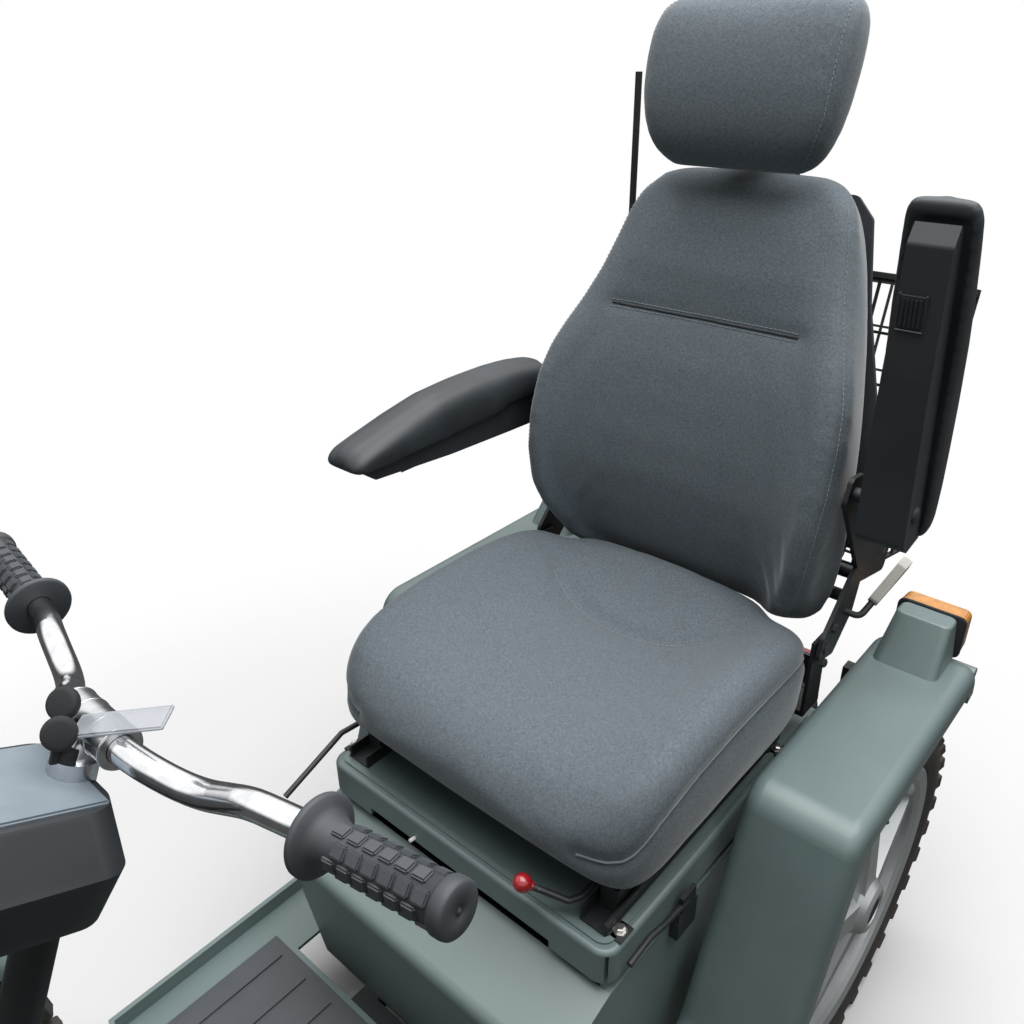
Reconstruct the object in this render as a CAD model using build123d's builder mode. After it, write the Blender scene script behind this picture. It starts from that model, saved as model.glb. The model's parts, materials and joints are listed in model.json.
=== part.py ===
"""Off-road mobility scooter for one rider, with cast wheels, a padded seat and a wire basket.

Millimetres. +X is forward, +Y is the rider's left, +Z is up, and the origin is on the ground under the
middle of the outline. Heights are taken from the axles, so larger tyres lift the whole machine.
"""
import math
import os

from build123d import *

os.makedirs("parts", exist_ok=True)

# Stance and wheels
REAR_AXLE_X = -407.0
WHEELBASE = 1110.0
FRONT_AXLE_X = REAR_AXLE_X + WHEELBASE
HALF_TRACK = 350.0
TYRE_RADIUS = 275.0
AXLE_Z = TYRE_RADIUS
TYRE_HALF_WIDTH = 38.0
SIDEWALL = 60.0
LUG_HEIGHT = 9.0
LUG_ROWS = 32
RIM_RADIUS = TYRE_RADIUS - SIDEWALL
RIM_HALF_WIDTH = 30.0
BEAD_RADIUS = RIM_RADIUS - 12.0
BEAD_HALF_WIDTH = 24.0
BARREL_RADIUS = RIM_RADIUS - 25.0
HUB_RADIUS = 46.0
HUB_FACE = 42.0
HUB_BACK = -30.0
HUB_WALL = 12.0
SPOKES = 5
AXLE_RADIUS = 12.0
GAP = 0.3

# Seat box and its lid
LID_FRONT = 42.0
LID_LENGTH = 535.0
LID_HALF_WIDTH = 238.0
LID_TOP = AXLE_Z + 225.0
LID_SKIRT = 50.0
SHEET = 5.0
RIM_BEAD_INSET = 10.0
RIM_BEAD_WIDTH = 7.0
RIM_BEAD_HEIGHT = 3.0
FINGER_GAP = 12.0
FINGER_HALF = 155.0
LID_REAR = LID_FRONT - LID_LENGTH
SHELF_FRONT = LID_FRONT + 94.0
SHELF_Z = LID_TOP - 100.0
SHELF_ROUND = 18.0
COLLAR_Z = SHELF_Z + 36.0
WELL_REAR = LID_FRONT - 330.0
BRIDGE_Z = LID_TOP - 110.0
HINGE_X = LID_REAR - 12.0
HINGE_Z = LID_TOP - 7.0
HINGE_Y = 150.0

# Frame
RAIL_Y = 120.0
RAIL_SIZE = 30.0
RAIL_TOP = AXLE_Z - 105.0
POST_X = HINGE_X - 38.0
POST_THICK = 14.0
FRAME_REAR = POST_X - 57.0
FRAME_FRONT = FRONT_AXLE_X + 87.0
TUBE_RADIUS = 14.0

# Rear mudguards
GUARD_TOP = AXLE_Z + TYRE_RADIUS + 37.0
GUARD_IN = 258.0
GUARD_OUT = 402.0
GUARD_REAR = REAR_AXLE_X - 226.0
GUARD_CREASE = REAR_AXLE_X + TYRE_RADIUS - 76.0
GUARD_TOE = REAR_AXLE_X + TYRE_RADIUS + 77.0
GUARD_BEND = 44.0
GUARD_FLANGE = 40.0
GUARD_WALL = 4.0
GUARD_SHOULDER = 20.0
POST_TOP = GUARD_TOP - 25.0
FLOOR_TOP = RAIL_TOP + 26.0
FLOOR_THICK = 6.0
FLOOR_HALF = 330.0
OUTRIGGER = 11.0

# Seat
RAIL_FRONT = LID_FRONT - 22.0
SEAT_RAIL_LENGTH = 420.0
SEAT_RAIL_Y = 200.0
PAN_Z = LID_TOP + 40.0
PAN_HALF = 227.0
CUSHION_Z = PAN_Z + 8.0
PIVOT_X = LID_FRONT - 478.0
PIVOT_Z = PAN_Z + 110.0
RECLINER_Y = 234.0
RECLINER_THICK = 5.0
RECLINE = 14.0
BACK_LOW = 12.0
BACK_HEIGHT = 590.0
BACK_REAR = -35.0
BACK_MIDDLE = 67.0
WING = 118.0
DISH_RADIUS = 487.0
HEAD_REAR = 50.0
HEAD_FRONT = 128.0
HEAD_UP = 685.0
HEAD_WIDTH = 270.0
HEAD_HEIGHT = 202.0
ARM_PIVOT_X = PIVOT_X + 2.0
ARM_PIVOT_Z = PIVOT_Z + 235.0
PLATE_IN = RECLINER_Y + RECLINER_THICK + 2.0
PLATE_OUT = PLATE_IN + 6.0
ARM_IN = PLATE_OUT + 11.0
ARM_WIDTH = 77.0
ARM_PIN = 9.0
ARM_PIN_END = ARM_IN + 42.0
ARM_RAISED = 82.0

# Steering
STEM_X = LID_FRONT + 372.0
JOINT_X = FRONT_AXLE_X - 31.0
JOINT_Z = AXLE_Z + 85.0
STEM_Z = JOINT_Z + 555.0
KINGPIN_Y = HALF_TRACK - 55.0
KINGPIN_RADIUS = 7.0
KING_LOW = AXLE_Z - 75.0
KING_HIGH = AXLE_Z + 70.0
STEER_ARM = 110.0
TIE_ROD_Z = AXLE_Z - 53.0
TIE_ROD_STEP = 16.0
BAR_RADIUS = 11.1
BAR_BEND = 60.0
GRIP_LENGTH = 118.0

STEER_AXIS = Vector(STEM_X - JOINT_X, 0, STEM_Z - JOINT_Z).normalized()
BACK = Plane(
    origin=(PIVOT_X, 0, PIVOT_Z),
    x_dir=(0, 1, 0),
    z_dir=(math.cos(math.radians(RECLINE)), 0, math.sin(math.radians(RECLINE))),
)
BACK_SIDE = Plane(origin=(PIVOT_X, 0, PIVOT_Z), x_dir=BACK.y_dir, z_dir=(0, 1, 0))


def save(piece, name):
    piece.label = name
    export_step(piece, f"parts/{name}.step")


def rod(start, end, radius):
    """A straight round bar between two points."""
    a = Vector(start)
    b = Vector(end)
    with BuildPart(Plane(origin=a, z_dir=b - a)) as bar:
        Cylinder(radius, (b - a).length, align=(Align.CENTER, Align.CENTER, Align.MIN))
    return bar.part


def pipe(points, bend, radius):
    """A round bar along a line with rounded bends."""
    with BuildPart() as tube:
        with BuildLine() as way:
            FilletPolyline(*points, radius=bend)
        with BuildSketch(Plane(origin=way.line @ 0, z_dir=way.line % 0)):
            Circle(radius)
        sweep()
    return tube.part


def both_sides(half):
    """A half outline closed by its own reflection across the middle."""
    return half + [(x, -y) for x, y in reversed(half)]


def left_to_right(half):
    """A line on the left side carried across to the right."""
    return half + [(x, -y, z) for x, y, z in reversed(half)]


def back_point(across, up, forward):
    """A point given across, up and in front of the backrest's pivot line."""
    return BACK.from_local_coords(Vector(across, up, forward))


def inset(points, distance, trim=0.0):
    """A side-view line moved below itself, with its two ends drawn in by trim."""
    legs = []
    for (x0, z0), (x1, z1) in zip(points, points[1:]):
        length = math.hypot(x1 - x0, z1 - z0)
        legs.append(((x1 - x0) / length, (z1 - z0) / length))
    moved = []
    for k, (x, z) in enumerate(points):
        before = legs[max(k - 1, 0)]
        after = legs[min(k, len(legs) - 1)]
        nx = before[1] + after[1]
        nz = -before[0] - after[0]
        scale = distance / (1 + before[0] * after[0] + before[1] * after[1])
        moved.append((x + nx * scale, z + nz * scale))
    first = (moved[0][0] + legs[0][0] * trim, moved[0][1] + legs[0][1] * trim)
    last = (moved[-1][0] - legs[-1][0] * trim, moved[-1][1] - legs[-1][1] * trim)
    return [first] + moved[1:-1] + [last]


def skin_block(points, bend, drop, depth, low, high, shoulder, trim):
    """A solid that follows a side-view line, rounded along its two upper edges."""
    with BuildPart() as block:
        with BuildSketch(Plane.XZ.offset(-low)):
            with BuildLine():
                top = FilletPolyline(*inset(points, drop, trim), radius=bend)
                foot = Polyline(*inset(points, depth, trim))
                Line(top @ 0, foot @ 0)
                Line(top @ 1, foot @ 1)
            make_face()
        extrude(amount=low - high)
        rims = []
        for edge in block.edges():
            middle = edge @ 0.5
            on_side = min(abs(middle.Y - low), abs(middle.Y - high)) < 0.01
            if on_side and top.distance_to(Vector(middle.X, middle.Z, 0)) < 0.01:
                rims.append(edge)
        fillet(rims, shoulder)
    return block.part


def channel(points, bend, low, high, depth, wall, shoulder):
    """Sheet bent to an upside-down U along a side-view line, closed at both ends."""
    with BuildPart() as sheet:
        add(skin_block(points, bend, 0, depth, low, high, shoulder, 0))
        add(
            skin_block(points, bend, wall, depth + wall, low + wall, high - wall, shoulder - wall, wall),
            mode=Mode.SUBTRACT,
        )
    return sheet.part


def on_right(piece):
    return mirror(piece, about=Plane.XZ)


# Wheels: a tyre built up from wedges with knobs in turn on its shoulders and down its middle
CROWN = TYRE_RADIUS - LUG_HEIGHT
LUG_ANGLE = 360 / LUG_ROWS
BEAD_CORNER = (BEAD_RADIUS + GAP) / math.cos(math.radians(LUG_ANGLE / 2))
sidewall_half = [
    (BEAD_CORNER, BEAD_HALF_WIDTH),
    (RIM_RADIUS + 2, BEAD_HALF_WIDTH),
    (RIM_RADIUS + 24, TYRE_HALF_WIDTH),
]
shoulder_knobs = sidewall_half + [
    (CROWN - 4, TYRE_HALF_WIDTH),
    (TYRE_RADIUS - 3, TYRE_HALF_WIDTH - 4),
    (TYRE_RADIUS, 14),
    (CROWN, 11),
]
middle_knob = sidewall_half + [
    (CROWN - 9, TYRE_HALF_WIDTH - 3),
    (CROWN, 18),
    (TYRE_RADIUS, 15),
]


def tread_wedge(half, turn):
    """One wedge of the tyre between two planes through the axle."""
    with BuildPart() as wedge:
        for angle in (math.radians(turn), math.radians(turn + LUG_ANGLE)):
            outward = (math.cos(angle), 0, math.sin(angle))
            around = (-math.sin(angle), 0, math.cos(angle))
            with BuildSketch(Plane(origin=(0, 0, 0), x_dir=outward, z_dir=around)):
                Polygon(*both_sides(half), align=None)
        loft(ruled=True)
    return wedge.part


with BuildPart() as tyre:
    wedges = []
    for row in range(LUG_ROWS):
        wedges.append(tread_wedge(middle_knob if row % 2 else shoulder_knobs, row * LUG_ANGLE))
    add(wedges)

# Cast rim: a deep barrel, tapered spokes with bevelled sides, and a hub with a sunk round centre
with BuildPart() as spoke:
    with BuildSketch(Plane.XY.offset(HUB_RADIUS - 16)):
        Polygon((-34, -14), (34, -14), (20, 30), (-20, 30), align=None)
    with BuildSketch(Plane.XY.offset(BARREL_RADIUS + 4)):
        Polygon((-21, -8), (21, -8), (11, 16), (-11, 16), align=None)
    loft(ruled=True)
with BuildPart() as rim:
    with BuildSketch(Plane.XY):
        with BuildLine():
            inside = BEAD_HALF_WIDTH + GAP
            half = [
                (BARREL_RADIUS, 22),
                (BARREL_RADIUS + 6, RIM_HALF_WIDTH - 2),
                (RIM_RADIUS - 4, RIM_HALF_WIDTH + 2),
                (RIM_RADIUS, RIM_HALF_WIDTH),
                (RIM_RADIUS, inside),
                (BEAD_RADIUS, inside),
            ]
            Polyline(*both_sides(half), close=True)
        make_face()
    revolve(axis=Axis.Y)
    add([spoke.part.rotate(Axis.Y, k * 360 / SPOKES) for k in range(SPOKES)])
    with BuildSketch(Plane.XY):
        with BuildLine():
            Polyline(
                (AXLE_RADIUS + GAP, HUB_BACK),
                (HUB_RADIUS, HUB_BACK),
                (HUB_RADIUS, 24),
                (HUB_RADIUS - 9, HUB_FACE - 4),
                (HUB_RADIUS - 14, HUB_FACE),
                (HUB_RADIUS - 22, HUB_FACE),
                (HUB_RADIUS - 24, HUB_FACE - 5),
                (0, HUB_FACE - 5),
                (0, HUB_FACE - HUB_WALL),
                (AXLE_RADIUS + GAP, HUB_FACE - HUB_WALL),
                close=True,
            )
        make_face()
    revolve(axis=Axis.Y)
    with BuildSketch(Plane.XZ.offset(-HUB_BACK)):
        Circle(AXLE_RADIUS + GAP)
    extrude(amount=HUB_BACK - HUB_FACE + HUB_WALL, mode=Mode.SUBTRACT)

WHEELS = (
    # name, axle, side
    ("front_left", FRONT_AXLE_X, 1),
    ("front_right", FRONT_AXLE_X, -1),
    ("rear_left", REAR_AXLE_X, 1),
    ("rear_right", REAR_AXLE_X, -1),
)
for place, axle_x, side in WHEELS:
    spot = Location((axle_x, side * HALF_TRACK, AXLE_Z))
    for kind, piece in (("tyre", tyre.part), ("rim", rim.part)):
        save(spot * (piece if side > 0 else on_right(piece)), f"{kind}_{place}")

# Chassis frame: two rails, cross members, front tower with the steering bearings, rear posts
HEAD_LOW = Vector(JOINT_X, 0, JOINT_Z) + STEER_AXIS * 70
HEAD_HIGH = Vector(JOINT_X, 0, JOINT_Z) + STEER_AXIS * 130
COLUMN_RADIUS = 17.0
AXLE_TUBE = 28.0
SPRING_Y = KINGPIN_Y - 63.0
SPRING_TOP_Y = RAIL_Y - 2.0
SPRING_TOP = AXLE_Z + 157.0
TOWER_X = FRONT_AXLE_X - 43.0
TOWER_TOP = AXLE_Z + 165.0
TOWER_LEG = 26.0
BEARING_LOW = AXLE_Z - 13.0
BEARING_HIGH = AXLE_Z + 33.0
SPINDLE_RADIUS = 10.0
FOOT = (Align.CENTER, Align.CENTER, Align.MIN)
with BuildPart() as chassis_frame:
    length = FRAME_FRONT - FRAME_REAR
    middle = (FRAME_FRONT + FRAME_REAR) / 2
    rail_mid = RAIL_TOP - RAIL_SIZE / 2
    with Locations((middle, RAIL_Y, rail_mid), (middle, -RAIL_Y, rail_mid)):
        Box(length, RAIL_SIZE, RAIL_SIZE)
    for cross_x, half_width in (
        (FRAME_REAR + 20, RAIL_Y),
        (POST_X, GUARD_IN),
        (SHELF_FRONT - 16, RAIL_Y),
        (FRAME_FRONT - 20, RAIL_Y),
    ):
        with Locations((cross_x, 0, rail_mid)):
            Box(RAIL_SIZE, 2 * half_width, RAIL_SIZE)
    for side in (1, -1):
        outer_edge = Align.MAX if side > 0 else Align.MIN
        with Locations((POST_X, side * GUARD_IN, RAIL_TOP)):
            Box(20, POST_THICK, POST_TOP - RAIL_TOP, align=(Align.CENTER, outer_edge, Align.MIN))
        with Locations((REAR_AXLE_X, side * RAIL_Y, RAIL_TOP)):
            Box(70, 12, AXLE_Z - 17 - RAIL_TOP, align=FOOT)
        with Locations((TOWER_X, side * (RAIL_Y - 30), RAIL_TOP - RAIL_SIZE)):
            Box(TOWER_LEG, TOWER_LEG, TOWER_TOP - RAIL_TOP + RAIL_SIZE, align=FOOT)
        with Locations((TOWER_X, side * (RAIL_Y - 20), rail_mid)):
            Box(TOWER_LEG, 30, 20)
        with Locations((FRONT_AXLE_X, side * (RAIL_Y - 28.5), KING_HIGH)):
            Box(170, 23, 20)
        with Locations((FRONT_AXLE_X, side * (RAIL_Y + 3), RAIL_TOP)):
            Box(170, 20, 40, align=FOOT)
        for x in (SHELF_FRONT + 30, FRONT_AXLE_X - 370):
            level = FLOOR_TOP - FLOOR_THICK - OUTRIGGER
            add(rod((x, side * RAIL_Y, level), (x, side * (FLOOR_HALF - 10), level), OUTRIGGER))
        with Locations((FRONT_AXLE_X - 18, side * SPRING_TOP_Y, SPRING_TOP + 4.3)):
            Box(70, 36, 9, align=FOOT)
    tower_width = 2 * (RAIL_Y - 25)
    with Locations((TOWER_X, 0, TOWER_TOP - TOWER_LEG / 2)):
        Box(TOWER_LEG, tower_width, TOWER_LEG)
    with Locations((TOWER_X, 0, (BEARING_LOW + BEARING_HIGH) / 2)):
        Box(TOWER_LEG, tower_width, 30)
    add(rod(HEAD_LOW, HEAD_HIGH, COLUMN_RADIUS + 9))
    add(rod((JOINT_X, 0, BEARING_LOW), (JOINT_X, 0, BEARING_HIGH), 22))
    add(
        rod((REAR_AXLE_X, -RAIL_Y - 20, AXLE_Z), (REAR_AXLE_X, RAIL_Y + 20, AXLE_Z), AXLE_TUBE + GAP),
        mode=Mode.SUBTRACT,
    )
    add(
        rod(HEAD_LOW - STEER_AXIS * 40, HEAD_HIGH + STEER_AXIS * 40, COLUMN_RADIUS + GAP),
        mode=Mode.SUBTRACT,
    )
    add(
        rod((JOINT_X, 0, BEARING_LOW - 12), (JOINT_X, 0, BEARING_HIGH + 12), SPINDLE_RADIUS + GAP),
        mode=Mode.SUBTRACT,
    )
save(chassis_frame.part, "chassis_frame")

# Rear drive: axle beam with its gear case, and the motor
with BuildPart() as rear_axle:
    for start_y, end_y, radius in (
        (-HALF_TRACK + 40, HALF_TRACK - 40, AXLE_TUBE),
        (-HALF_TRACK - 24, HALF_TRACK + 24, AXLE_RADIUS),
        (-60, 60, 74),
    ):
        add(rod((REAR_AXLE_X, start_y, AXLE_Z), (REAR_AXLE_X, end_y, AXLE_Z), radius))
    add(rod((REAR_AXLE_X, 0, AXLE_Z), (REAR_AXLE_X - 180, 0, AXLE_Z), 52))
save(rear_axle.part, "rear_axle")

# Seat box: a battery well with a front shelf, and a bridge over the rear axle
BOX_WALL = 6.0
COLLAR_INSET = 8.0
LID_MIDDLE = (LID_FRONT + LID_REAR) / 2
with BuildPart() as seat_box:
    with BuildSketch(Plane.XZ.offset(-LID_HALF_WIDTH)):
        Polygon(
            (WELL_REAR, RAIL_TOP),
            (LID_FRONT + 60, RAIL_TOP),
            (SHELF_FRONT, SHELF_Z),
            (LID_FRONT - COLLAR_INSET, COLLAR_Z),
            (LID_REAR + COLLAR_INSET, COLLAR_Z),
            (LID_REAR + COLLAR_INSET, BRIDGE_Z),
            (WELL_REAR, BRIDGE_Z),
            align=None,
        )
    extrude(amount=2 * LID_HALF_WIDTH)
    fillet(seat_box.edges().sort_by(Axis.X)[-3:], SHELF_ROUND)
    with Locations((LID_MIDDLE, 0, LID_TOP - SHEET)):
        Box(
            LID_LENGTH - 2 * COLLAR_INSET,
            2 * (LID_HALF_WIDTH - COLLAR_INSET),
            80,
            align=(Align.CENTER, Align.CENTER, Align.MAX),
        )
    hollow_half = LID_HALF_WIDTH - COLLAR_INSET - 7
    with Locations(((LID_FRONT + WELL_REAR) / 2, 0, RAIL_TOP + BOX_WALL)):
        Box(LID_FRONT - WELL_REAR - 16, 2 * hollow_half, 400, align=FOOT, mode=Mode.SUBTRACT)
    with Locations((LID_MIDDLE, 0, BRIDGE_Z + BOX_WALL)):
        Box(LID_LENGTH - 30, 2 * hollow_half, 200, align=FOOT, mode=Mode.SUBTRACT)
    with BuildSketch(Plane.XZ.offset(-LID_HALF_WIDTH + 7)):
        Polygon(
            (LID_FRONT - 20, RAIL_TOP + BOX_WALL),
            (LID_FRONT + 53, RAIL_TOP + BOX_WALL),
            (SHELF_FRONT - 12, SHELF_Z - 12),
            (LID_FRONT - 20, SHELF_Z - 12),
            align=None,
        )
    extrude(amount=2 * LID_HALF_WIDTH - 14, mode=Mode.SUBTRACT)
save(seat_box.part, "seat_box")
with BuildPart() as batteries:
    with GridLocations(0, 184, 1, 2):
        with Locations((LID_FRONT - 150, 0, RAIL_TOP + BOX_WALL)):
            Box(265, 172, 215, align=FOOT)
save(batteries.part, "batteries")
HINGE_PIN = 5.0
with BuildPart() as lid_hinges:
    for side in (1, -1):
        with Locations((LID_REAR + COLLAR_INSET, side * HINGE_Y, HINGE_Z + 1.5)):
            Box(5, 40, 46, align=(Align.MAX, Align.CENTER, Align.MAX))
            Box(
                LID_REAR + COLLAR_INSET - HINGE_X,
                40,
                7,
                align=(Align.MAX, Align.CENTER, Align.MAX),
            )
        pin_y = side * HINGE_Y
        add(rod((HINGE_X, pin_y - 36, HINGE_Z), (HINGE_X, pin_y + 36, HINGE_Z), HINGE_PIN))
save(lid_hinges.part, "lid_hinges")
with BuildPart() as lid_latches:
    for side in (1, -1):
        with Locations((LID_FRONT - 152, side * (LID_HALF_WIDTH + 6), SHELF_Z + 32)):
            Box(42, 12, 44)
        with Locations((LID_FRONT - 152, side * (LID_HALF_WIDTH + 9), LID_TOP - 38)):
            Box(30, 6, 30)
save(lid_latches.part, "lid_latches")

# Rear mudguards, each with a rolled rear edge and a pod that carries an indicator
guard_line = [
    (GUARD_REAR - 14, GUARD_TOP - 46),
    (GUARD_REAR, GUARD_TOP),
    (GUARD_CREASE, GUARD_TOP),
    (GUARD_TOE - 40, FLOOR_TOP + 75.3),
    (GUARD_TOE, FLOOR_TOP + 25.3),
]
POD_REAR = GUARD_REAR + 7.0
POD_IN = GUARD_IN + 18.0
POD_OUT = GUARD_OUT - 35.0
POD_MIDDLE = (POD_IN + POD_OUT) / 2
POD_HEIGHT = 63.0
POD_LENGTH = 83.0
POD_ROUND = 12.0
ROLL = 11.0
with BuildPart() as mudguard:
    add(
        channel(
            guard_line,
            GUARD_BEND,
            GUARD_IN,
            GUARD_OUT,
            GUARD_FLANGE,
            GUARD_WALL,
            GUARD_SHOULDER,
        )
    )
    roll_x = GUARD_REAR - 8
    roll_z = GUARD_TOP - 28
    add(rod((roll_x, GUARD_IN + 22, roll_z), (roll_x, GUARD_OUT - 6, roll_z), ROLL))
    with BuildSketch(Plane.XY.offset(GUARD_TOP - 1)):
        with Locations((POD_REAR, POD_MIDDLE)):
            RectangleRounded(POD_LENGTH, POD_OUT - POD_IN, POD_ROUND, align=(Align.MIN, Align.CENTER))
    with BuildSketch(Plane.XY.offset(GUARD_TOP + POD_HEIGHT)):
        with Locations((POD_REAR, POD_MIDDLE)):
            RectangleRounded(36, POD_OUT - POD_IN - 14, POD_ROUND, align=(Align.MIN, Align.CENTER))
    loft(ruled=True)
    fillet(mudguard.faces().sort_by(Axis.Z)[-1].edges(), 5)
save(mudguard.part, "rear_mudguard_left")
save(on_right(mudguard.part), "rear_mudguard_right")
with BuildPart() as indicators:
    for side in (1, -1):
        with Locations((POD_REAR, side * POD_MIDDLE, GUARD_TOP + 36)):
            Box(26, POD_OUT - POD_IN - 19, 64, align=(Align.MAX, Align.CENTER, Align.CENTER))
    fillet(indicators.edges().group_by(Axis.X)[0], 8)
save(indicators.part, "rear_indicators")

# Footwell: a tray with raised edges, a toe board, and a ribbed mat
TOE_HALF = 150.0
TOE_TOP = TOWER_TOP
WIDE_FRONT = FRONT_AXLE_X - TYRE_RADIUS - 47.0
TOE_START = FRONT_AXLE_X - 232.0
TOE_END = FRONT_AXLE_X - 118.0
EDGE_WALL = 7.0
EDGE_HEIGHT = 24.0
floor_outline = [
    (GUARD_TOE - 40, FLOOR_HALF),
    (WIDE_FRONT, FLOOR_HALF),
    (WIDE_FRONT + 58, TOE_HALF + 5),
    (TOE_START, TOE_HALF),
]
floor_inside = [
    (GUARD_TOE - 60, FLOOR_HALF - EDGE_WALL),
    (WIDE_FRONT - 5, FLOOR_HALF - EDGE_WALL),
    (WIDE_FRONT + 52, TOE_HALF - 4),
    (TOE_START + 10, TOE_HALF - EDGE_WALL),
]
with BuildPart() as footwell:
    with BuildSketch(Plane.XY.offset(FLOOR_TOP - FLOOR_THICK)):
        Polygon(*both_sides(floor_outline), align=None)
    extrude(amount=FLOOR_THICK + EDGE_HEIGHT)
    with BuildSketch(Plane.XY.offset(FLOOR_TOP)):
        Polygon(*both_sides(floor_inside), align=None)
    extrude(amount=60, mode=Mode.SUBTRACT)
    with BuildSketch(Plane.XZ.offset(-TOE_HALF)):
        Polygon(
            (TOE_START - 8, FLOOR_TOP),
            (TOE_START - 8, FLOOR_TOP - FLOOR_THICK),
            (TOE_START + 2, FLOOR_TOP - FLOOR_THICK),
            (TOE_END + 6, TOE_TOP - 4),
            (TOE_END - 2, TOE_TOP),
            align=None,
        )
    extrude(amount=2 * TOE_HALF)
    with Locations((GUARD_TOE + 6, 0, FLOOR_TOP)):
        Box(
            200,
            2 * FLOOR_HALF + 10,
            60,
            align=(Align.MAX, Align.CENTER, Align.MIN),
            mode=Mode.SUBTRACT,
        )
    with Locations((SHELF_FRONT + 3, 0, FLOOR_TOP - 10)):
        Box(
            400,
            2 * LID_HALF_WIDTH + 6,
            100,
            align=(Align.MAX, Align.CENTER, Align.CENTER),
            mode=Mode.SUBTRACT,
        )
save(footwell.part, "footwell")
MAT_THICK = 4.0
with BuildPart() as floor_mat:
    mat_rear = SHELF_FRONT + 12
    mat_length = WIDE_FRONT - mat_rear
    with Locations((mat_rear, 0, FLOOR_TOP)):
        Box(mat_length, 2 * FLOOR_HALF - 100, MAT_THICK, align=(Align.MIN, Align.CENTER, Align.MIN))
    with Locations((mat_rear + mat_length / 2, 0, FLOOR_TOP + MAT_THICK)):
        with GridLocations(0, (2 * FLOOR_HALF - 100) / 10, 1, 10):
            Box(mat_length - 30, 14, 3, align=FOOT)
save(floor_mat.part, "floor_mat")

# Front cowl over the tower, and the tubular bumpers
cowl_line = [
    (TOE_END - 12, AXLE_Z + 173),
    (TOE_END + 40, AXLE_Z + 253),
    (FRONT_AXLE_X + 50, AXLE_Z + 230),
    (FRONT_AXLE_X + 165, AXLE_Z + 75),
]
with BuildPart() as front_cowl:
    add(channel(cowl_line, 30, -110, 110, 56, 4, 26))
    add(
        rod(HEAD_LOW - STEER_AXIS * 60, HEAD_HIGH + STEER_AXIS * 160, COLUMN_RADIUS + 12),
        mode=Mode.SUBTRACT,
    )
save(front_cowl.part, "front_cowl")
bumper_half = [
    (FRAME_FRONT, RAIL_Y, rail_mid),
    (FRAME_FRONT + 42, RAIL_Y, rail_mid),
    (FRAME_FRONT + 174, RAIL_Y + 5, AXLE_Z + 25),
]
with BuildPart() as front_bumper:
    add(pipe(left_to_right(bumper_half), 40, TUBE_RADIUS))
save(front_bumper.part, "front_bumper")
REAR_BAR_X = FRAME_REAR - 145.0
REAR_BAR_Z = AXLE_Z + 55.0
LAMP_Z = REAR_BAR_Z + TUBE_RADIUS + 28.0
LAMP_Y = 90.0
bumper_half = [
    (FRAME_REAR + 40, RAIL_Y, RAIL_TOP + TUBE_RADIUS),
    (FRAME_REAR - 60, RAIL_Y, RAIL_TOP + TUBE_RADIUS),
    (REAR_BAR_X, RAIL_Y + 30, REAR_BAR_Z),
]
with BuildPart() as rear_bumper:
    add(pipe(left_to_right(bumper_half), 40, TUBE_RADIUS))
    with Locations((REAR_BAR_X, LAMP_Y, LAMP_Z), (REAR_BAR_X, -LAMP_Y, LAMP_Z)):
        Box(8, 70, 60)
save(rear_bumper.part, "rear_bumper")
with BuildPart() as tail_lamps:
    with Locations((REAR_BAR_X - 4, LAMP_Y, LAMP_Z), (REAR_BAR_X - 4, -LAMP_Y, LAMP_Z)):
        Box(22, 60, 48, align=(Align.MAX, Align.CENTER, Align.CENTER))
    fillet(tail_lamps.edges().group_by(Axis.X)[0], 6)
save(tail_lamps.part, "tail_lamps")

# Front suspension: wishbones with eyes round the kingpins, and spring units
with BuildPart() as wishbones:
    for side in (1, -1):
        king_y = side * KINGPIN_Y
        for level, inner_y in ((KING_LOW, RAIL_Y + 22), (KING_HIGH, RAIL_Y - 8)):
            eye = (FRONT_AXLE_X, king_y, level)
            for step in (66, -66):
                add(rod((FRONT_AXLE_X + step, side * inner_y, level), eye, 7))
            pivot_front = (FRONT_AXLE_X + 78, side * inner_y, level)
            pivot_rear = (FRONT_AXLE_X - 78, side * inner_y, level)
            add(rod(pivot_rear, pivot_front, 8.5))
            add(rod((FRONT_AXLE_X, king_y, level - 11), (FRONT_AXLE_X, king_y, level + 11), 16))
            add(
                rod(
                    (FRONT_AXLE_X, king_y, level - 20),
                    (FRONT_AXLE_X, king_y, level + 20),
                    KINGPIN_RADIUS + GAP,
                ),
                mode=Mode.SUBTRACT,
            )
        with Locations((FRONT_AXLE_X, side * SPRING_Y, KING_LOW)):
            Box(60, 20, 16)
save(wishbones.part, "front_wishbones")


def spring_unit(low, high, turns):
    """A damper inside a coil, shown as a ribbed sleeve, with an eye at each end."""
    low = Vector(low)
    high = Vector(high)
    length = (high - low).length
    with BuildPart() as unit:
        with BuildSketch(Plane.XZ):
            with BuildLine():
                pitch = (length - 60) / turns
                points = [(0, 0), (9, 0), (9, 30)]
                for k in range(turns):
                    points += [(19, 30 + k * pitch), (26, 30 + (k + 0.5) * pitch)]
                points += [(19, length - 30), (9, length - 30), (9, length), (0, length)]
                Polyline(*points, close=True)
            make_face()
        revolve(axis=Axis.Z)
    return Plane(origin=low, z_dir=high - low).location * unit.part


with BuildPart() as front_springs:
    foot = (FRONT_AXLE_X, SPRING_Y, KING_LOW + 12.4)
    unit = spring_unit(foot, (FRONT_AXLE_X, SPRING_TOP_Y, SPRING_TOP), 6)
    add(unit)
    add(on_right(unit))
save(front_springs.part, "front_spring_units")

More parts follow.
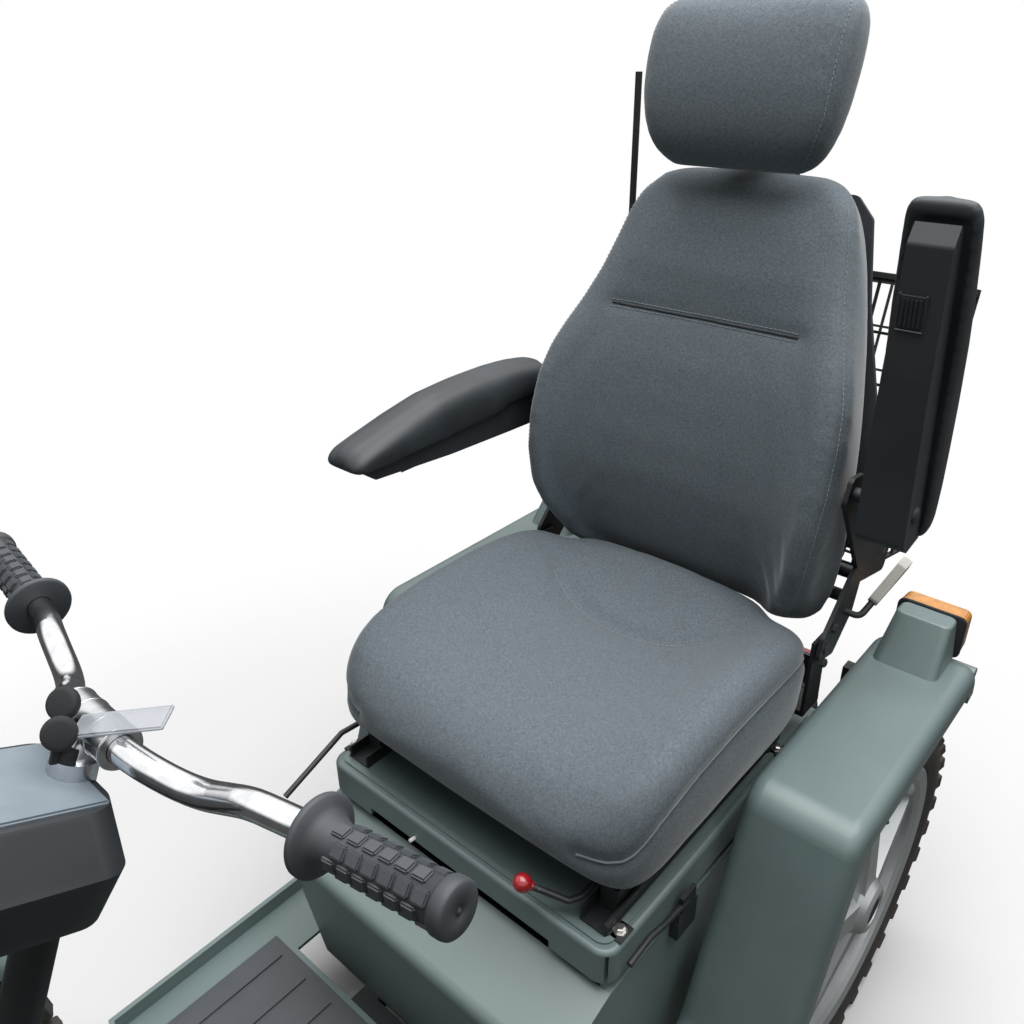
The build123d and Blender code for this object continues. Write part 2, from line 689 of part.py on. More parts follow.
# Knuckles, turning on the kingpins, with stub axles, steering arms and guard stays
FRONT_GUARD_RADIUS = TYRE_RADIUS + 28.0
ARM_END_X = FRONT_AXLE_X - STEER_ARM
STAY_THICK = 5.0
STAY_Y = KINGPIN_Y + STAY_THICK / 2
BALL_PIN = 5.0
with BuildPart() as knuckle:
    for low, high, radius in (
        (KING_LOW - 16, KING_HIGH + 16, KINGPIN_RADIUS),
        (KING_LOW + 12, KING_HIGH - 12, 13),
    ):
        add(rod((FRONT_AXLE_X, KINGPIN_Y, low), (FRONT_AXLE_X, KINGPIN_Y, high), radius))
    for end_y, radius in ((HALF_TRACK + 24, AXLE_RADIUS), (HALF_TRACK - 33, 20)):
        add(rod((FRONT_AXLE_X, KINGPIN_Y, AXLE_Z), (FRONT_AXLE_X, end_y, AXLE_Z), radius))
    with Locations(((FRONT_AXLE_X + ARM_END_X) / 2, KINGPIN_Y, TIE_ROD_Z + 28)):
        Box(STEER_ARM + 16, 14, 10)
    ball = (ARM_END_X, KINGPIN_Y, TIE_ROD_Z - 12)
    add(rod(ball, (ARM_END_X, KINGPIN_Y, TIE_ROD_Z + 28), BALL_PIN))
    with Locations((FRONT_AXLE_X - 30, STAY_Y, AXLE_Z + 37)):
        Box(48, STAY_THICK, 24)
    with Locations((FRONT_AXLE_X - 46, STAY_Y, AXLE_Z + 25)):
        Box(16, STAY_THICK, FRONT_GUARD_RADIUS - 41, align=FOOT)
save(knuckle.part, "knuckle_left")
save(on_right(knuckle.part), "knuckle_right")
guard_arc = []
for step in range(9):
    angle = math.radians(152 - step * 16)
    guard_arc.append(
        (
            FRONT_AXLE_X + FRONT_GUARD_RADIUS * math.cos(angle),
            AXLE_Z + FRONT_GUARD_RADIUS * math.sin(angle),
        )
    )
with BuildPart() as front_guard:
    add(channel(guard_arc, 60, KINGPIN_Y + STAY_THICK, HALF_TRACK + 50, 22, 3, 14))
save(front_guard.part, "front_mudguard_left")
save(on_right(front_guard.part), "front_mudguard_right")

# Steering spindle with its drop arm, and two tie rods stacked on one pin
PIN_X = JOINT_X - STEER_ARM
JOINT_BALL = 14.0
with BuildPart() as spindle:
    add(rod((JOINT_X, 0, TIE_ROD_Z - 8), (JOINT_X, 0, JOINT_Z - 16), SPINDLE_RADIUS))
    add(rod((JOINT_X, 0, JOINT_Z - 30), (JOINT_X, 0, JOINT_Z), 20))
    with Locations((JOINT_X, 0, JOINT_Z)):
        Sphere(JOINT_BALL + GAP, mode=Mode.SUBTRACT)
    with Locations(((JOINT_X + PIN_X) / 2, 0, TIE_ROD_Z + 30)):
        Box(STEER_ARM + 20, 20, 10)
    add(rod((PIN_X, 0, TIE_ROD_Z - 12), (PIN_X, 0, TIE_ROD_Z + 30), BALL_PIN))
save(spindle.part, "steering_spindle")
for name, side, drop in (("left", 1, 0.0), ("right", -1, TIE_ROD_STEP)):
    level = TIE_ROD_Z + 16 - drop
    rod_ends = ((PIN_X, 0), (ARM_END_X, side * KINGPIN_Y))
    with BuildPart() as tie_rod:
        add(rod((PIN_X, 0, level), (ARM_END_X, side * KINGPIN_Y, level), 5.5))
        for end_x, end_y in rod_ends:
            add(rod((end_x, end_y, level - 7), (end_x, end_y, level + 7), 11))
        for end_x, end_y in rod_ends:
            bore = rod((end_x, end_y, level - 9), (end_x, end_y, level + 9), BALL_PIN + GAP)
            add(bore, mode=Mode.SUBTRACT)
    save(tie_rod.part, f"tie_rod_{name}")

# Tiller: column, bar clamp, handlebar, grips, console, headlamp and the short switch cable
STEM_TOP = Vector(STEM_X, 0, STEM_Z)
JOINT = Vector(JOINT_X, 0, JOINT_Z)
STEM_CLAMP = 30.0
STEM_CLAMP_RADIUS = 18.0
BAR_X = STEM_X - 20.0
BAR_Z = STEM_Z + 13.0
bar_half = [
    (BAR_X, 52, BAR_Z),
    (BAR_X - 20, 92, BAR_Z - 22),
    (BAR_X - 33, 150, BAR_Z - 3),
    (BAR_X - 45, 192, BAR_Z - 6),
    (BAR_X - 56, 321, BAR_Z + 10),
]
with BuildPart() as column:
    add(rod(JOINT + STEER_AXIS * 8, STEM_TOP - STEER_AXIS * STEM_CLAMP, COLUMN_RADIUS))
    with Locations(JOINT):
        Sphere(JOINT_BALL)
    add(rod(JOINT, JOINT + STEER_AXIS * 40, 8))
    add(rod(HEAD_HIGH + STEER_AXIS * 1, HEAD_HIGH + STEER_AXIS * 12, COLUMN_RADIUS + 6))
save(column.part, "steering_column")
with BuildPart() as handlebar:
    right_half = [(x, -y, z) for x, y, z in reversed(bar_half)]
    add(pipe(right_half + bar_half, BAR_BEND, BAR_RADIUS))
save(handlebar.part, "handlebar")
CLAMP_HALF = 36.0
CLAMP_RADIUS = 17.0
with BuildPart() as clamp:
    add(rod(STEM_TOP - STEER_AXIS * (STEM_CLAMP - 0.5), STEM_TOP, STEM_CLAMP_RADIUS))
    add(rod((BAR_X, -CLAMP_HALF, BAR_Z), (BAR_X, CLAMP_HALF, BAR_Z), CLAMP_RADIUS))
    add(rod(STEM_TOP - STEER_AXIS * 14, (BAR_X + 8, 0, BAR_Z - 5), 13))
    add(
        rod((BAR_X, -CLAMP_HALF - 4, BAR_Z), (BAR_X, CLAMP_HALF + 4, BAR_Z), BAR_RADIUS + GAP),
        mode=Mode.SUBTRACT,
    )
save(clamp.part, "bar_clamp")
grip_end = Vector(bar_half[-1])
along = (grip_end - Vector(bar_half[-2])).normalized()
grip_start = grip_end - along * GRIP_LENGTH
with BuildPart() as grip:
    add(rod(grip_start, grip_end + along * 4, BAR_RADIUS + 5.4))
    add(rod(grip_start, grip_start + along * 6, BAR_RADIUS + 17.9))
    add(rod(grip_end - along * 2, grip_end + along * 4, BAR_RADIUS + 7.9))
    bore = rod(grip_start - along * 3, grip_end + along * 0.5, BAR_RADIUS + GAP)
    add(bore, mode=Mode.SUBTRACT)
with BuildPart() as grips:
    add(grip.part)
    add(on_right(grip.part))
save(grips.part, "grips")
POD_PLANE = Plane(
    origin=STEM_TOP - STEER_AXIS * STEM_CLAMP,
    x_dir=(0, 1, 0),
    z_dir=STEER_AXIS,
)
POD_AHEAD = -58.0
with BuildPart() as pod:
    for offset_up, width, depth, ahead in (
        (-66, 146, 140, POD_AHEAD),
        (-22, 164, 150, POD_AHEAD),
        (14, 108, 124, POD_AHEAD + 8),
    ):
        with BuildSketch(POD_PLANE.offset(offset_up)):
            with Locations((0, ahead)):
                RectangleRounded(width, depth, 24)
    loft(ruled=True)
    add(rod(JOINT, STEM_TOP, COLUMN_RADIUS), mode=Mode.SUBTRACT)
    add(
        rod(STEM_TOP - STEER_AXIS * (STEM_CLAMP + 1), STEM_TOP, STEM_CLAMP_RADIUS + GAP),
        mode=Mode.SUBTRACT,
    )
save(pod.part, "control_pod")
with BuildPart() as headlamp:
    with BuildSketch(POD_PLANE.offset(-60)):
        with Locations((0, POD_AHEAD - 76)):
            RectangleRounded(104, 26, 10)
    extrude(amount=52)
    add(pod.part, mode=Mode.SUBTRACT)
save(headlamp.part, "headlamp")

# Seat lid, hinged at its rear edge, with a raised bead round its top and a finger gap in its front skirt
with BuildPart() as seat_lid:
    with Locations((LID_MIDDLE, 0, LID_TOP)):
        Box(
            LID_LENGTH,
            2 * LID_HALF_WIDTH,
            LID_SKIRT,
            align=(Align.CENTER, Align.CENTER, Align.MAX),
        )
    fillet(seat_lid.edges().filter_by(Axis.Z).sort_by(Axis.X)[-2:], 22)
    fillet(seat_lid.faces().sort_by(Axis.Z)[-1].edges().sort_by(Axis.X)[1:], 7)
    with Locations((LID_MIDDLE - SHEET, 0, LID_TOP - SHEET)):
        Box(
            LID_LENGTH,
            2 * (LID_HALF_WIDTH - SHEET),
            LID_SKIRT,
            align=(Align.CENTER, Align.CENTER, Align.MAX),
            mode=Mode.SUBTRACT,
        )
    with Locations((LID_FRONT, 0, LID_TOP - LID_SKIRT)):
        Box(40, 2 * FINGER_HALF, FINGER_GAP, align=FOOT, mode=Mode.SUBTRACT)
    bead_length = LID_LENGTH - 2 * RIM_BEAD_INSET
    bead_across = 2 * (LID_HALF_WIDTH - RIM_BEAD_INSET)
    with BuildSketch(Plane.XY.offset(LID_TOP)):
        with Locations((LID_MIDDLE, 0)):
            RectangleRounded(bead_length, bead_across, 16)
            RectangleRounded(
                bead_length - 2 * RIM_BEAD_WIDTH,
                bead_across - 2 * RIM_BEAD_WIDTH,
                10,
                mode=Mode.SUBTRACT,
            )
    extrude(amount=RIM_BEAD_HEIGHT)
    for side in (1, -1):
        knuckle_y = side * (HINGE_Y - 29)
        with Locations((LID_REAR + 20, knuckle_y, LID_TOP - SHEET / 2)):
            Box(20 + LID_REAR - HINGE_X + 20, 12, SHEET, align=(Align.MAX, Align.CENTER, Align.CENTER))
        add(rod((HINGE_X, knuckle_y + 6, HINGE_Z), (HINGE_X, knuckle_y - 6, HINGE_Z), 10))
        pin_y = side * HINGE_Y
        bore = rod((HINGE_X, pin_y - 40, HINGE_Z), (HINGE_X, pin_y + 40, HINGE_Z), HINGE_PIN + GAP)
        add(bore, mode=Mode.SUBTRACT)
save(seat_lid.part, "seat_lid")
RAIL_BASE = 3.0
RAIL_WIDTH = 36.0
RAIL_HEIGHT = 20.0
with BuildPart() as fixed_rails:
    for side in (1, -1):
        with Locations((RAIL_FRONT, side * SEAT_RAIL_Y, LID_TOP)):
            Box(
                SEAT_RAIL_LENGTH,
                RAIL_WIDTH,
                RAIL_HEIGHT,
                align=(Align.MAX, Align.CENTER, Align.MIN),
            )
        with Locations((RAIL_FRONT + 5, side * SEAT_RAIL_Y, LID_TOP + RAIL_BASE)):
            Box(
                SEAT_RAIL_LENGTH + 10,
                RAIL_WIDTH - 2 * RAIL_BASE,
                RAIL_HEIGHT,
                align=(Align.MAX, Align.CENTER, Align.MIN),
                mode=Mode.SUBTRACT,
            )
save(fixed_rails.part, "fixed_seat_rails")

# Seat base: sliding rails, pan and recliner plates, with the slide lever
LEVER_Z = LID_TOP + 28.0
LEVER_Y = SEAT_RAIL_Y - 22.0
RECLINER_PIN = 8.0
slide_lever = pipe(
    [
        (LID_FRONT - 120, LEVER_Y, LEVER_Z),
        (LID_FRONT - 30, LEVER_Y, LEVER_Z),
        (LID_FRONT - 14, LEVER_Y - 6, LEVER_Z + 2),
        (LID_FRONT + 8, LEVER_Y - 42, LEVER_Z + 18),
    ],
    6,
    4,
)
with BuildPart() as seat_base:
    add(slide_lever)
    with Locations((LID_FRONT - 118, LEVER_Y + 5, LEVER_Z)):
        Box(12, 12, 10)
    slider_z = LID_TOP + RAIL_BASE + GAP
    for side in (1, -1):
        with Locations((RAIL_FRONT - 30, side * SEAT_RAIL_Y, slider_z)):
            Box(
                SEAT_RAIL_LENGTH - 60,
                RAIL_WIDTH - 12,
                PAN_Z - slider_z,
                align=(Align.MAX, Align.CENTER, Align.MIN),
            )
        with BuildSketch(Plane.XZ.offset(-side * RECLINER_Y)):
            Polygon(
                (PIVOT_X + 20, PAN_Z),
                (PIVOT_X + 20, PIVOT_Z + 14),
                (PIVOT_X - 20, PIVOT_Z + 14),
                (PIVOT_X - 30, PAN_Z),
                align=None,
            )
        extrude(amount=-side * RECLINER_THICK)
        pin_end = (PIVOT_X, side * (PLATE_OUT + 2), PIVOT_Z)
        add(rod((PIVOT_X, side * RECLINER_Y, PIVOT_Z), pin_end, RECLINER_PIN))
    pan_thick = CUSHION_Z - PAN_Z
    pan_rear = PIVOT_X - 30
    with Locations((pan_rear, 0, PAN_Z)):
        Box(LID_FRONT - 75 - pan_rear, 2 * PAN_HALF, pan_thick, align=(Align.MIN, Align.CENTER, Align.MIN))
        Box(50, 2 * (RECLINER_Y + RECLINER_THICK), pan_thick, align=(Align.MIN, Align.CENTER, Align.MIN))
save(seat_base.part, "seat_base")

# Seat cushion: cross-sections from the nose to the rear crest, with raised sides and a dished middle
SEAT_STATIONS = (
    # behind the lid's front, half width, underside, widest, bolster, middle
    (4, 120, 40, 52, 66, 64),
    (12, 180, 24, 50, 90, 84),
    (34, 214, 6, 55, 120, 104),
    (60, 236, 0, 60, 134, 110),
    (110, 246, 0, 60, 146, 113),
    (200, 246, 0, 60, 152, 108),
    (330, 245, 0, 60, 147, 101),
    (400, 240, 0, 60, 141, 112),
    (444, 230, 0, 60, 136, 132),
    (455, 218, 0, 56, 112, 110),
)
with BuildPart() as cushion:
    for behind, half_width, under, widest, bolster, middle in SEAT_STATIONS:
        half = [
            (half_width - 6, under),
            (half_width, widest),
            (half_width - 8, bolster - 0.2 * (bolster - under)),
            (half_width - 30, bolster - 0.04 * (bolster - under)),
            (half_width - 52, bolster),
            (half_width - 110, middle + 0.35 * (bolster - middle)),
        ]
        with BuildSketch(Plane.YZ.offset(LID_FRONT - behind)):
            section = [(y, CUSHION_Z + z) for y, z in half]
            Polygon(
                *section,
                (0, CUSHION_Z + middle),
                *[(-y, z) for y, z in reversed(section)],
                align=None,
            )
    loft(ruled=True)
save(cushion.part, "seat_cushion")
with BuildPart() as slide_knob:
    with Locations((LID_FRONT + 14, LEVER_Y - 50, LEVER_Z + 22)):
        Sphere(11)
    add(slide_lever, mode=Mode.SUBTRACT)
save(slide_knob.part, "slide_lever_knob")

# Backrest cushion: outline, side view and cross-section meet in one block with forward wings
back_outline = [
    (150, BACK_LOW),
    (206, 34),
    (226, 80),
    (236, 150),
    (240, 222),
    (236, 285),
    (222, 345),
    (198, 411),
    (182, 460),
    (168, 520),
    (157, 556),
    (138, 576),
    (100, BACK_HEIGHT),
]
back_front = [
    (BACK_LOW, 2),
    (36, 30),
    (75, 74),
    (120, 104),
    (190, WING),
    (270, WING - 2),
    (360, 98),
    (450, 71),
    (540, 57),
    (576, 42),
    (BACK_HEIGHT, 12),
]
back_section = [
    (240, -BACK_REAR),
    (240, -84),
    (228, -108),
    (212, -WING),
]
with BuildPart() as backrest:
    with BuildSketch(BACK.offset(BACK_REAR)):
        Polygon(*back_outline, *[(-v, u) for v, u in reversed(back_outline)], align=None)
    extrude(amount=WING - BACK_REAR)
    with BuildSketch(BACK_SIDE):
        Polygon((BACK_LOW, BACK_REAR), *back_front, (BACK_HEIGHT, BACK_REAR), align=None)
    extrude(amount=PLATE_OUT, both=True, mode=Mode.INTERSECT)
    with BuildSketch(Plane(origin=BACK.origin, x_dir=(0, 1, 0), z_dir=BACK.y_dir)):
        Polygon(*back_section, *[(-v, w) for v, w in reversed(back_section)], align=None)
    extrude(amount=BACK_HEIGHT + 10, mode=Mode.INTERSECT)
    dish_axis = BACK_MIDDLE + DISH_RADIUS
    add(
        rod(back_point(0, -50, dish_axis), back_point(0, BACK_HEIGHT + 50, dish_axis), DISH_RADIUS),
        mode=Mode.SUBTRACT,
    )
save(backrest.part, "backrest_cushion")
SHELL_THICK = 8.0
SHELL_REAR = BACK_REAR - SHELL_THICK
shell_half = [
    (196, BACK_LOW + 16),
    (224, 120),
    (230, 215),
    (214, 330),
    (174, 450),
    (150, 552),
    (124, BACK_HEIGHT - 12),
]
with BuildPart() as back_shell:
    with BuildSketch(BACK.offset(SHELL_REAR)) as panel:
        Polygon(*shell_half, *[(-v, u) for v, u in reversed(shell_half)], align=None)
        fillet(panel.vertices(), 10)
    extrude(amount=SHELL_THICK)
save(back_shell.part, "backrest_shell")

# Back frame: recliner ears, armrest brackets, headrest stay, basket bar, mast and recline lever
BASKET_FRONT = -165.0
BASKET_DEPTH = 270.0
BASKET_LOW = 53.0
BASKET_HEIGHT = 432.0
BASKET_HALF = 205.0
WIRE = 4.0
STAY_PLATE = 6.0
STAY_TOP = HEAD_UP - 30.0
BASKET_BAR = BASKET_FRONT + 6.0
BASKET_BAR_UP = 106.0
MAST_X = PIVOT_X - 176.0
MAST_Y = -219.0
tilt = math.radians(RECLINE)
arm_x = ARM_PIVOT_X - PIVOT_X
arm_z = ARM_PIVOT_Z - PIVOT_Z
ARM_UP = math.cos(tilt) * arm_z - math.sin(tilt) * arm_x
ARM_FORWARD = math.cos(tilt) * arm_x + math.sin(tilt) * arm_z
ear_shape = [(-16, 18), (18, 18), (110, -36), (110, -70), (40, -70), (-16, -34)]
bracket_shape = [
    (ARM_UP - 14, ARM_FORWARD + 20),
    (ARM_UP + 20, ARM_FORWARD + 16),
    (ARM_UP + 24, ARM_FORWARD - 20),
    (130, BASKET_FRONT),
    (84, BASKET_FRONT),
    (84, -70),
]
lever_root = Vector(PIVOT_X - 50, PLATE_IN + 2, PIVOT_Z + 35)
lever_bend = Vector(PIVOT_X - 50, PLATE_OUT + 20, PIVOT_Z + 35)
lever_tip = Vector(PIVOT_X - 114, PLATE_OUT + 41, PIVOT_Z + 88)
recline_rod = pipe([lever_root, lever_bend, lever_tip], 10, 4.5)
with BuildPart() as back_frame:
    for side in (1, -1):
        start = PLATE_IN if side > 0 else -PLATE_OUT
        for shape in (ear_shape, bracket_shape):
            with BuildSketch(BACK_SIDE.offset(start)) as plate:
                Polygon(*shape, align=None)
                fillet(plate.vertices(), 9)
            extrude(amount=PLATE_OUT - PLATE_IN)
        bore_start = (PIVOT_X, side * (PLATE_IN - 6), PIVOT_Z)
        bore_end = (PIVOT_X, side * (PLATE_OUT + 8), PIVOT_Z)
        add(rod(bore_start, bore_end, RECLINER_PIN + GAP), mode=Mode.SUBTRACT)
        arm_root = (ARM_PIVOT_X, side * PLATE_IN, ARM_PIVOT_Z)
        add(rod(arm_root, (ARM_PIVOT_X, side * ARM_PIN_END, ARM_PIVOT_Z), ARM_PIN))
    for up in (62, 98):
        add(rod(back_point(-PLATE_OUT, up, SHELL_REAR - 9), back_point(PLATE_OUT, up, SHELL_REAR - 9), 9))
    bar_left = back_point(PLATE_OUT, BASKET_BAR_UP, BASKET_BAR)
    add(rod(back_point(-PLATE_OUT, BASKET_BAR_UP, BASKET_BAR), bar_left, 6))
    with BuildSketch(BACK.offset(SHELL_REAR - STAY_PLATE)):
        with Locations((0, 80)):
            Rectangle(70, STAY_TOP - 80, align=(Align.CENTER, Align.MIN))
    extrude(amount=STAY_PLATE)
    with BuildSketch(BACK.offset(SHELL_REAR - STAY_PLATE)):
        with Locations((0, STAY_TOP)):
            Rectangle(70, 18, align=(Align.CENTER, Align.MAX))
    extrude(amount=HEAD_REAR - SHELL_REAR + STAY_PLATE)
    add(rod((MAST_X, MAST_Y, PIVOT_Z + 48), (MAST_X, MAST_Y, PIVOT_Z + 690), 5))
    add(recline_rod)
save(back_frame.part, "back_frame")
with BuildPart() as headrest:
    with BuildSketch(BACK.offset(HEAD_REAR)):
        with Locations((0, HEAD_UP)):
            RectangleRounded(HEAD_WIDTH, HEAD_HEIGHT, 52)
    extrude(amount=HEAD_FRONT - HEAD_REAR)
    faces = headrest.faces().sort_by(Axis((0, 0, 0), BACK.z_dir))
    fillet(faces[-1].edges() + faces[0].edges(), 24)
save(headrest.part, "headrest_cushion")

# Recline lever's flat paddle, flared towards its end
PADDLE_HALF_THICK = 6.5
lever_way = (lever_tip - lever_bend).normalized()
paddle_across = Vector(0.665, 0.257, 0.702)
paddle_plane = Plane(
    origin=lever_bend + lever_way * 26,
    x_dir=lever_way,
    z_dir=lever_way.cross(paddle_across),
)
with BuildPart() as recline_grip:
    with BuildSketch(paddle_plane) as paddle:
        Polygon((0, -8), (56, -20), (72, -16), (74, 20), (58, 24), (0, 8), align=None)
        fillet(paddle.vertices(), 5)
    extrude(amount=PADDLE_HALF_THICK, both=True)
    add(recline_rod, mode=Mode.SUBTRACT)
save(recline_grip.part, "recline_lever_grip")


def grille(plane, width, height, columns, rows):
    """A flat panel of crossed wires."""
    step_x = (width - WIRE) / columns
    step_y = (height - WIRE) / rows
    with BuildPart() as panel:
        with BuildSketch(plane):
            Rectangle(width, height)
            with GridLocations(step_x, step_y, columns, rows):
                Rectangle(step_x - WIRE, step_y - WIRE, mode=Mode.SUBTRACT)
        extrude(amount=WIRE)
    return panel.part


with BuildPart() as basket:
    mid_up = BASKET_LOW + BASKET_HEIGHT / 2
    basket_rear = BASKET_FRONT - BASKET_DEPTH
    inner_depth = BASKET_DEPTH - 2 * WIRE - 1
    for forward in (BASKET_FRONT - WIRE, basket_rear):
        flat = Plane(origin=back_point(0, mid_up, forward), x_dir=(0, 1, 0), z_dir=BACK.z_dir)
        add(grille(flat, 2 * BASKET_HALF, BASKET_HEIGHT, 6, 6))
    for across in (BASKET_HALF - WIRE, -BASKET_HALF):
        flat = Plane(
            origin=back_point(across, mid_up, BASKET_FRONT - BASKET_DEPTH / 2),
            x_dir=BACK.z_dir,
            z_dir=(0, 1, 0),
        )
        add(grille(flat, inner_depth, BASKET_HEIGHT, 4, 6))
    flat = Plane(
        origin=back_point(0, BASKET_LOW, BASKET_FRONT - BASKET_DEPTH / 2),
        x_dir=(0, 1, 0),
        z_dir=BACK.y_dir,
    )
    add(grille(flat, 2 * BASKET_HALF - 2 * WIRE - 1, inner_depth, 6, 4))
save(basket.part, "basket")
with BuildPart() as basket_rim:
    with BuildSketch(Plane(flat.location).offset(BASKET_HEIGHT)):
        RectangleRounded(2 * BASKET_HALF + 4, BASKET_DEPTH + 4, 12)
        RectangleRounded(2 * BASKET_HALF - 8, BASKET_DEPTH - 8, 7, mode=Mode.SUBTRACT)
    extrude(amount=8)
save(basket_rim.part, "basket_rim")

# Armrests: a padded top over a narrower housing let into its underside, folding up on the bracket pins
ARM_POCKET = 6.0
ARM_WALL = 7.0
ARM_TIP = 360.0
ARM_HEEL = -46.0
ARM_AXIS = Axis((ARM_PIVOT_X, 0, ARM_PIVOT_Z), (0, 1, 0))
seam_drop = 14.0 / (ARM_TIP - ARM_HEEL)


def seam(along_arm):
    """Height of the pad's lower edge, which falls gently towards the tip."""
    return 8.0 - (along_arm - ARM_HEEL) * seam_drop


def at_arm(points):
    return [(ARM_PIVOT_X + x, ARM_PIVOT_Z + z) for x, z in points]


pad_shape = [(ARM_HEEL, seam(ARM_HEEL)), (ARM_HEEL, 52), (60, 67), (200, 62), (352, 24), (ARM_TIP, seam(ARM_TIP))]
pocket_shape = [
    (ARM_HEEL - 10, seam(ARM_HEEL) - 4),
    (ARM_TIP - 14, seam(ARM_TIP) - 4),
    (ARM_TIP - 14, seam(ARM_TIP - 14) + ARM_POCKET),
    (ARM_HEEL - 10, seam(ARM_HEEL - 10) + ARM_POCKET),
]
housing_shape = [
    (ARM_HEEL + 2, seam(ARM_HEEL + 2) + ARM_POCKET),
    (ARM_TIP - 34, seam(ARM_TIP - 34) + ARM_POCKET),
    (ARM_TIP - 22, seam(ARM_TIP) - 4),
    (ARM_TIP - 40, -24),
    (180, -33),
    (-30, -38),
    (ARM_HEEL + 2, -26),
]
housing_plan = [
    (ARM_HEEL - 4, ARM_IN + ARM_WALL + 1),
    (60, ARM_IN + ARM_WALL + 2),
    (ARM_TIP, ARM_IN + ARM_WALL + 10),
    (ARM_TIP, ARM_IN + ARM_WIDTH - ARM_WALL - 9),
    (ARM_HEEL - 4, ARM_IN + ARM_WIDTH - ARM_WALL - 3),
]
arm_bore = rod(
    (ARM_PIVOT_X, ARM_IN - 5, ARM_PIVOT_Z),
    (ARM_PIVOT_X, ARM_PIN_END + 0.5, ARM_PIVOT_Z),
    ARM_PIN + GAP,
)
with BuildPart() as arm_pad:
    with BuildSketch(Plane.XZ.offset(-ARM_IN)) as profile:
        Polygon(*at_arm(pad_shape), align=None)
        fillet(profile.vertices().sort_by(Axis.Y)[-4:], 24)
    extrude(amount=-ARM_WIDTH)
    rims = []
    for edge in arm_pad.edges():
        middle = edge @ 0.5
        depth = min(abs(middle.Y - ARM_IN), abs(middle.Y - ARM_IN - ARM_WIDTH))
        above_seam = middle.Z - ARM_PIVOT_Z - seam(middle.X - ARM_PIVOT_X)
        if depth < 0.01 and above_seam > 1:
            rims.append(edge)
    fillet(rims, 14)
    with BuildSketch(Plane.XZ.offset(-ARM_IN - ARM_WALL)):
        Polygon(*at_arm(pocket_shape), align=None)
    extrude(amount=2 * ARM_WALL - ARM_WIDTH, mode=Mode.SUBTRACT)
    add(arm_bore, mode=Mode.SUBTRACT)
with BuildPart() as arm_housing:
    with BuildSketch(Plane.XZ.offset(-ARM_IN)) as profile:
        Polygon(*at_arm(housing_shape), align=None)
        fillet(profile.vertices().sort_by(Axis.Y)[:4], 8)
    extrude(amount=-ARM_WIDTH)
    with BuildSketch(Plane.XY.offset(ARM_PIVOT_Z - 60)):
        Polygon(*[(ARM_PIVOT_X + x, y) for x, y in housing_plan], align=None)
    extrude(amount=120, mode=Mode.INTERSECT)
    add(arm_bore, mode=Mode.SUBTRACT)
for kind, piece in (("pad", arm_pad.part), ("housing", arm_housing.part)):
    save(piece.rotate(ARM_AXIS, -ARM_RAISED), f"armrest_{kind}_left")
    save(on_right(piece), f"armrest_{kind}_right")
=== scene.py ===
# %% [markdown]
# This lesson dresses an off-road mobility scooter. The CAD model comes first, as a fixed frame: every
# body, node and joint is loaded in metres, with +X forward, +Y to the rider's left and +Z up. What is
# made later stands in the same frame, placed from the boxes of those nodes or by the CAD model's sizes.

# %% Load the frame
import json
import math

import bmesh
import bpy
import numpy as np
from mathutils import Matrix, Vector
from mathutils.bvhtree import BVHTree


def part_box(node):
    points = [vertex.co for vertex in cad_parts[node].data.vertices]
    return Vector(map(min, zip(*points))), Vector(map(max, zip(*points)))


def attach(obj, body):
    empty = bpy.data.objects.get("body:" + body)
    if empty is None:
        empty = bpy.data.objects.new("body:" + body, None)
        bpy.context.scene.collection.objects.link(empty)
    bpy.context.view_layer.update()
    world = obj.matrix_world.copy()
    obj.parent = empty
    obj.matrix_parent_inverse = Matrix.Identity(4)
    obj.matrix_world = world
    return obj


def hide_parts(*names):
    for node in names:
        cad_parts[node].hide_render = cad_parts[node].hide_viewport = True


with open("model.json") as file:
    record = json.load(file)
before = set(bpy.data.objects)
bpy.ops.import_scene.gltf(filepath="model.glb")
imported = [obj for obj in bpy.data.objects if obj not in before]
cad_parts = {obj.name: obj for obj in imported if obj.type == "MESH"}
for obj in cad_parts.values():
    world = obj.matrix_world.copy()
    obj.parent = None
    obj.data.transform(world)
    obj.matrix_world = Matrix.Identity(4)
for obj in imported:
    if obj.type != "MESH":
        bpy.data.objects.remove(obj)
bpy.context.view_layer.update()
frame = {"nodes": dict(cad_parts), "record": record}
MM = 0.001

# %% [markdown]
# The camera stands where the photographer stood: beside the handlebar, a little above the backrest's
# middle, looking back and down at the seat. Its place and turn were solved once from the handlebar and
# the wheel, whose real sizes are known, and they are written here as plain numbers.

# %% Camera
CAMERA_PLACE = Vector((0.5758, 0.5782, 1.3801))
CAMERA_RIGHT = Vector((-0.6577, 0.7532, -0.0106))
CAMERA_DOWN = Vector((0.3575, 0.2997, -0.8845))
CAMERA_LENS = 31.39
SENSOR = 36.0


def place_camera():
    data = bpy.data.cameras.new("photo_camera")
    data.lens = CAMERA_LENS
    data.sensor_width = SENSOR
    data.clip_start = 0.02
    camera = bpy.data.objects.new("photo_camera", data)
    bpy.context.scene.collection.objects.link(camera)
    right = CAMERA_RIGHT.normalized()
    up = -(CAMERA_DOWN - right * CAMERA_DOWN.dot(right)).normalized()
    back = right.cross(up)
    turn = Matrix((right, up, back)).transposed()
    camera.matrix_world = Matrix.Translation(CAMERA_PLACE) @ turn.to_4x4()
    bpy.context.scene.camera = camera
    return camera


camera = place_camera()
print("camera", [round(v, 3) for v in camera.location])

# %% [markdown]
# A shader is a sum of patterns. The class below wraps one socket, so that a pattern can be written as
# ordinary arithmetic, and each operator adds its Math node. Colours are mixed through Mix nodes, since
# a Math node would turn them grey. The same class serves the Geometry Nodes trees further down.


